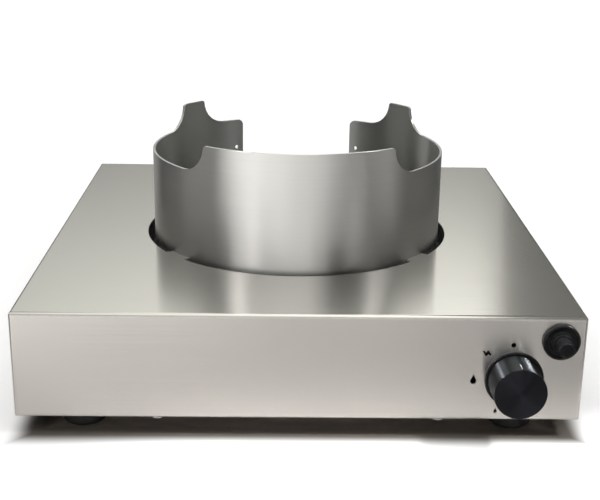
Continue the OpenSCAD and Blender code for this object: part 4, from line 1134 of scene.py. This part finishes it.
def cross_screw(head_r, head_h, shank_r, shank_len):
    """A pan-head screw with a cross recess: its head hangs below 0 and its shank stands above."""
    body = linked("screw", turned_mesh([
        (0, -head_h, 0),
        (head_r, -head_h, head_h * 0.55),
        (head_r, 0, 0.1 * MM),
        (shank_r, 0, 0),
        (shank_r, shank_len, 0.4 * MM),
        (0, shank_len, 0),
    ], False, (0, 0, 0), False, 40))
    reach = head_r * 0.6
    half = 0.5 * MM
    plan = [(reach, -half), (reach, half), (half, half), (half, reach), (-half, reach),
            (-half, half), (-reach, half), (-reach, -half), (-half, -half), (-half, -reach),
            (half, -reach), (half, -half)]
    recess = prism([(x, y, -head_h - MM) for x, y in plan],
                   [(x * 0.6, y * 0.6, -head_h * 0.4) for x, y in plan])
    cutter = linked("recess", made_mesh(recess, "recess"))
    cut = body.modifiers.new("recess", "BOOLEAN")
    cut.operation = "DIFFERENCE"
    cut.object = cutter
    mesh = shown_mesh(body)
    bpy.data.objects.remove(cutter)
    return mesh


def rivet_mesh():
    """A set rivet: two domed heads that grip the base plate and a bracket foot."""
    grip = 2.7 * MM
    shank = 2.0 * MM
    head = [
        (0, 1.4 * MM, 0),
        (1.8 * MM, 1.25 * MM, 0.9 * MM),
        (3.3 * MM, 0.5 * MM, 0.8 * MM),
        (3.5 * MM, 0, 0.1 * MM),
        (shank, 0, 0),
    ]
    lower = [(radius, -height, ease) for radius, height, ease in head]
    upper = [(radius, grip + height, ease) for radius, height, ease in reversed(head)]
    return turned_mesh(lower + upper, False, (0, 0, 0), False, 40)


def four(x, y, z):
    return [(sx * x, sy * y, z) for sx in (-1, 1) for sy in (-1, 1)]


def place_fasteners(name, mesh, places, seed, node):
    source = linked("fastener", mesh)
    result = grown(AT_POINTS, only_points(places), "zinc_fastener", Piece=source, Seed=seed)
    bpy.data.objects.remove(source)
    add_piece(name, result, "zinc_fastener", "range", node)


place_fasteners(
    "base_screws_cross_heads", cross_screw(4 * MM, 1.2 * MM, 2 * MM, 6.9 * MM),
    four(95 * MM, 193 * MM, BASE_Z) + four(182 * MM, 100.5 * MM, BASE_Z), 3, "base_screws")
place_fasteners(
    "foot_screws_cross_heads", cross_screw(4 * MM, 2.4 * MM, 2 * MM, 10.7 * MM),
    four(147 * MM, 176 * MM, FOOT_WELL_Z), 5, "foot_screws")
place_fasteners(
    "bracket_rivets_domed", rivet_mesh(),
    [(sx * 69.5 * MM, y * MM, BASE_Z) for sx in (-1, 1) for y in (-32, 20)]
    + [(x * MM, -160 * MM, BASE_Z) for x in (125.5, 161.5)],
    7, "bracket_rivets")


# Studio: floor, card, lamps, sky and camera

# Brightness in front of the range and low in front of it, as (degrees from the front, level),
# and of the overhead strip light and back wall, as (sideways slope, level)

FRONT_LEVELS = (
    (-180, 0.95), (-158, 0.45), (-141, 0.30), (-124, 0.07), (-98, 0.08), (-86, 0.19),
    (-74, 0.22), (-62, 0.22), (-50, 0.95), (-30, 1.15), (-12, 1.02), (0, 0.80),
    (16, 0.74), (29, 0.60), (37, 0.42), (50, 0.20), (69, 0.32), (86, 0.05),
    (120, 0.08), (146, 0.08), (166, 0.20), (180, 0.95),
)
LOW_LEVELS = (
    (-180, 0.16), (-98, 0.16), (-86, 0.10), (-74, 0.14), (-62, 0.20), (-53, 0.42),
    (-50, 1.66), (-30, 1.95), (-12, 1.70), (10, 1.36), (20, 1.34), (26, 0.30),
    (32, 0.06), (72, 0.04), (100, 0.12), (180, 0.12),
)
STRIP_LEVELS = (
    (-0.60, 0.14), (-0.42, 0.20), (-0.30, 0.60), (-0.20, 0.88), (-0.08, 1.05),
    (-0.02, 1.20), (0.08, 1.28), (0.180, 1.40), (0.198, 0.22), (0.35, 0.15), (0.60, 0.12),
)
STRIP_SLOPE = 0.6
WHITE = (1.0, 1.0, 1.0)
PAPER_LEVEL = 0.9


def level_ramp(tree, share, stops, span):
    """A curve through (place, level) stops from -span to span; levels may run up to 2."""
    ramp = tree.nodes.new("ShaderNodeValToRGB")
    put(tree, ramp.inputs[0], share)
    elements = ramp.color_ramp.elements
    while len(elements) < len(stops):
        elements.new(0.5)
    for element, (place, level) in zip(elements, stops):
        element.position = (place + span) / (2 * span)
        element.color = colour(level / 2, level / 2, level / 2)
    return times(tree, first_channel(tree, ramp.outputs[0]), 2.0)


def make_surround_effect():
    """How bright the studio is in each direction round the range."""
    group, given, result = effect("surround", {}, ["Front", "Low", "Strip", "Boxes"])
    x, y, z = parts_of(group, given["Vector"])
    turn = calc(group, "ARCTAN2", x, times(group, y, -1.0))
    share = spread(group, turn, -math.pi, math.pi, 0.0, 1.0)
    put(group, result["Front"], level_ramp(group, share, FRONT_LEVELS, 180))
    put(group, result["Low"], level_ramp(group, share, LOW_LEVELS, 180))
    slope = calc(group, "DIVIDE", x,
                 calc(group, "MAXIMUM", flat_length(group, y, z), 0.05))
    beside = calc(group, "MAXIMUM", glide(group, slope, -0.9, -0.65, 1.0, 0.0),
                  glide(group, slope, 0.65, 0.9, 0.0, 1.0))
    put(group, result["Boxes"], times(group, beside, glide(group, z, 0.42, 0.56, 0.0, 1.0)))
    share = spread(group, slope, -STRIP_SLOPE, STRIP_SLOPE, 0.0, 1.0)
    strip = level_ramp(group, share, STRIP_LEVELS, STRIP_SLOPE)
    low_left = times(group, glide(group, slope, -0.16, -0.02, 1.0, 0.0),
                     glide(group, z, 0.16, 0.42, 0.5, 0.0))
    put(group, result["Strip"], times(group, strip, calc(group, "SUBTRACT", 1.0, low_left)))
    return group


ROUND_ABOUT = make_surround_effect()


def studio_sheet(name, material_name, corners):
    """A flat sheet of the studio, with its material's tree and output."""
    mesh = bpy.data.meshes.new(name)
    mesh.from_pydata(corners, [], [(0, 1, 2, 3)])
    material, tree, leave = bare_material(material_name)
    mesh.materials.append(material)
    return linked(name, mesh), tree, leave


def paper_in_mirrors(tree, around, x, apart):
    """Colour and glow of the paper as the range mirrors it, by the distance from the range."""
    close = glide(tree, apart, 0.26, 0.52, 0.73, 0.0)
    farther = glide(tree, apart, 0.40, 0.60, 0.68, 1.3)
    right_dim = glide(tree, x, 0.0, 0.22, 1.0, 0.80)
    far_off = glide(tree, apart, 0.50, 0.65, 0.0, 1.0)
    farther = times(tree, farther, calc(tree, "MAXIMUM", right_dim, far_off))
    level = calc(tree, "MAXIMUM", times(tree, around["Front"], farther),
                 times(tree, close, right_dim))
    level = times(tree, level, PAPER_LEVEL)
    glow = calc(tree, "MAXIMUM", calc(tree, "SUBTRACT", level, PAPER_LEVEL), 0.0)
    level = calc(tree, "MINIMUM", level, PAPER_LEVEL)
    return tint(tree, level, colour(0.0, 0.0, 0.0), colour(1.0, 0.98, 0.95)), glow


def paper_with_painted_shadow(tree, place, x, y):
    """Colour of the paper, with a dark brown shadow painted under the range and just past its
    edges.
    """
    clouds = use_effect(tree, GRAIN, place, Grain_size=0.0012, Cloud_size=0.4)["Clouds"]
    white = tint(tree, clouds, colour(0.985, 0.98, 0.975), colour(*WHITE))
    from_middle = calc(tree, "SUBTRACT", x, 3 * MM)
    beside_x = calc(tree, "SUBTRACT", calc(tree, "ABSOLUTE", from_middle), 180 * MM)
    beside_y = calc(tree, "SUBTRACT", calc(tree, "ABSOLUTE", y), REAR_Y)
    beside = calc(tree, "MAXIMUM", beside_x, beside_y)
    # Painted shadow: paler brown deep under the range, darkest brown at its edges, fading to
    # white 1 to 20 mm outside them.
    painted_shadow = tint(tree, glide(tree, beside, -30 * MM, -4 * MM, 0.0, 1.0),
                 colour(0.55, 0.47, 0.40), colour(0.085, 0.075, 0.065))
    return tint(tree, glide(tree, beside, 1 * MM, 20 * MM, 0.0, 1.0), painted_shadow, white)


def make_floor():
    reach = 6.0
    floor, tree, leave = studio_sheet("studio_floor", "studio_paper", [
        (-reach, -reach, 0), (reach, -reach, 0), (reach, reach, 0), (-reach, reach, 0)])
    seen = tree.nodes.new("ShaderNodeLightPath").outputs["Is Camera Ray"]
    place = coordinates(tree, "Object")
    around = use_effect(tree, ROUND_ABOUT, place)
    x, y, _ = parts_of(tree, place)
    apart = flat_length(tree, x, y)
    mirrored, glow = paper_in_mirrors(tree, around, x, apart)
    own_glow = glide(tree, apart, 0.45, 1.4, 0.0, 0.15)
    # The camera sees the paper with its painted shadow; mirrors see its studio level and glow.
    paper = add_node(tree, "ShaderNodeBsdfPrincipled",
                     Base_Color=tint(tree, seen, mirrored, paper_with_painted_shadow(tree, place, x, y)),
                     Roughness=0.9, Specular_IOR_Level=0.0, Emission_Color=colour(*WHITE),
                     Emission_Strength=between(tree, seen, glow, own_glow))
    put(tree, leave.inputs[0], paper.outputs[0])


def make_rear_card():
    """A dim card that stands low behind the range and is only mirrored, never seen itself."""
    wide = 2.0
    back = 0.45
    high = 0.35
    middle = (-0.012, -0.897, -0.188)
    level = 0.65
    card, tree, leave = studio_sheet("rear_card", "studio_card", [
        (-wide, back, 0), (wide, back, 0), (wide, back, high), (-wide, back, high)])
    way = vector_calc(tree, "SUBTRACT", coordinates(tree, "Object"), middle)
    around = use_effect(tree, ROUND_ABOUT, vector_calc(tree, "NORMALIZE", way))
    glow = add_node(tree, "ShaderNodeEmission", Color=colour(1.0, 1.02, 0.98),
                    Strength=times(tree, calc(tree, "MINIMUM", around["Strip"], level), level))
    put(tree, leave.inputs[0], glow.outputs[0])
    card.visible_camera = False
    card.visible_diffuse = False
    card.visible_shadow = False


def make_lamp(name, place, aim, width, height, energy, beam=180):
    data = bpy.data.lights.new(name, "AREA")
    data.spread = math.radians(beam)
    data.shape = "RECTANGLE"
    data.size = width
    data.size_y = height
    data.energy = energy
    lamp = linked(name, data)
    lamp.location = place
    lamp.rotation_mode = "QUATERNION"
    lamp.rotation_quaternion = (Vector(place) - Vector(aim)).to_track_quat("Z", "Y")


def make_knob_lamps():
    """A narrow light from either side above the knob, for the streaks on its barrel."""
    knob = Vector((KNOB_X, FRONT_Y - 12 * MM, KNOB_Z))
    away = 0.6
    for side, slant, energy in (("left", -0.95, 0.04), ("right", 0.74, 0.10)):
        place = knob + Vector((math.sin(slant), -0.02, math.cos(slant))) * away
        make_lamp("knob_" + side + "_box", place, knob, 0.05, 0.34, energy, beam=9)


def make_sky():
    """White to the camera, soft light on matt faces and the studio's own shapes in metal."""
    world = bpy.data.worlds.new("studio")
    bpy.context.scene.world = world
    world.use_nodes = True
    world.cycles.sampling_method = "NONE"
    tree = world.node_tree
    tree.nodes.clear()
    leave = tree.nodes.new("ShaderNodeOutputWorld")
    ray = tree.nodes.new("ShaderNodeLightPath").outputs
    way = coordinates(tree, "Generated")
    _, y, z = parts_of(tree, way)
    height = calc(tree, "MAXIMUM", z, 0.0)
    around = use_effect(tree, ROUND_ABOUT, way)
    upper = calc(tree, "MAXIMUM", glide(tree, height, 0.35, 0.65, 0.0, 1.0),
                 glide(tree, y, -0.02, 0.1, 0.0, 1.0))
    low = times(tree, around["Low"], glide(tree, height, 0.10, 0.24, 0.15, 1.0))
    high = times(tree, around["Strip"], glide(tree, height, 0.10, 0.50, 0.95, 1.39))
    high = calc(tree, "MULTIPLY_ADD", around["Boxes"], 0.35, high)
    dip = times(tree, glide(tree, height, 0.30, 0.42, 0.0, 0.7),
                glide(tree, height, 0.70, 0.86, 1.0, 0.0))
    dip = times(tree, dip, glide(tree, y, -0.3, -0.1, 1.0, 0.0))
    mirrored = times(tree, between(tree, upper, low, high), calc(tree, "SUBTRACT", 1.0, dip))
    lit = glide(tree, height, 0.35, 0.85, 0.05, 1.5)
    level = between(tree, ray["Is Glossy Ray"], lit, mirrored)
    warm = tint(tree, glide(tree, height, 0.0, 0.5, 0.0, 1.0), colour(1.0, 0.86, 0.78),
                colour(*WHITE))
    plain = tint(tree, ray["Is Diffuse Ray"], colour(*WHITE), warm)
    overhead = times(tree, ray["Is Glossy Ray"], upper)
    light = add_node(tree, "ShaderNodeBackground",
                     Color=tint(tree, overhead, plain, colour(1.0, 1.025, 0.965)),
                     Strength=between(tree, ray["Is Camera Ray"], level, 1.0))
    put(tree, leave.inputs[0], light.outputs[0])


def make_camera():
    """The photograph's viewpoint, with its turn in radians."""
    place = (-12.405 * MM, -896.64 * MM, 361.125 * MM)
    pitch = 0.3191
    yaw = 0.0174
    roll = 0.0149
    ahead = Vector((math.sin(yaw) * math.cos(pitch), math.cos(yaw) * math.cos(pitch),
                    -math.sin(pitch)))
    right = Vector((math.cos(yaw), -math.sin(yaw), 0.0))
    up = right.cross(ahead)
    across = right * math.cos(roll) + up * math.sin(roll)
    upward = up * math.cos(roll) - right * math.sin(roll)
    data = bpy.data.cameras.new("photo_camera")
    data.sensor_width = 36
    data.lens = 68.775
    data.clip_start = 0.05
    data.clip_end = 50
    camera = linked("photo_camera", data)
    matrix = camera.matrix_world
    for row in range(3):
        matrix[row][0] = across[row]
        matrix[row][1] = upward[row]
        matrix[row][2] = -ahead[row]
        matrix[row][3] = place[row]
    camera.matrix_world = matrix
    bpy.context.scene.camera = camera


make_floor()
make_rear_card()
make_lamp("left_softbox", (-0.8, -0.6, 1.3), (0, 0, 0.08), 0.25, 0.25, 3)
make_lamp("right_softbox", (0.9, -0.3, 1.2), (0, 0, 0.08), 0.2, 0.25, 2.5)
make_knob_lamps()
make_sky()
make_camera()
bpy.context.scene.view_settings.view_transform = "Standard"
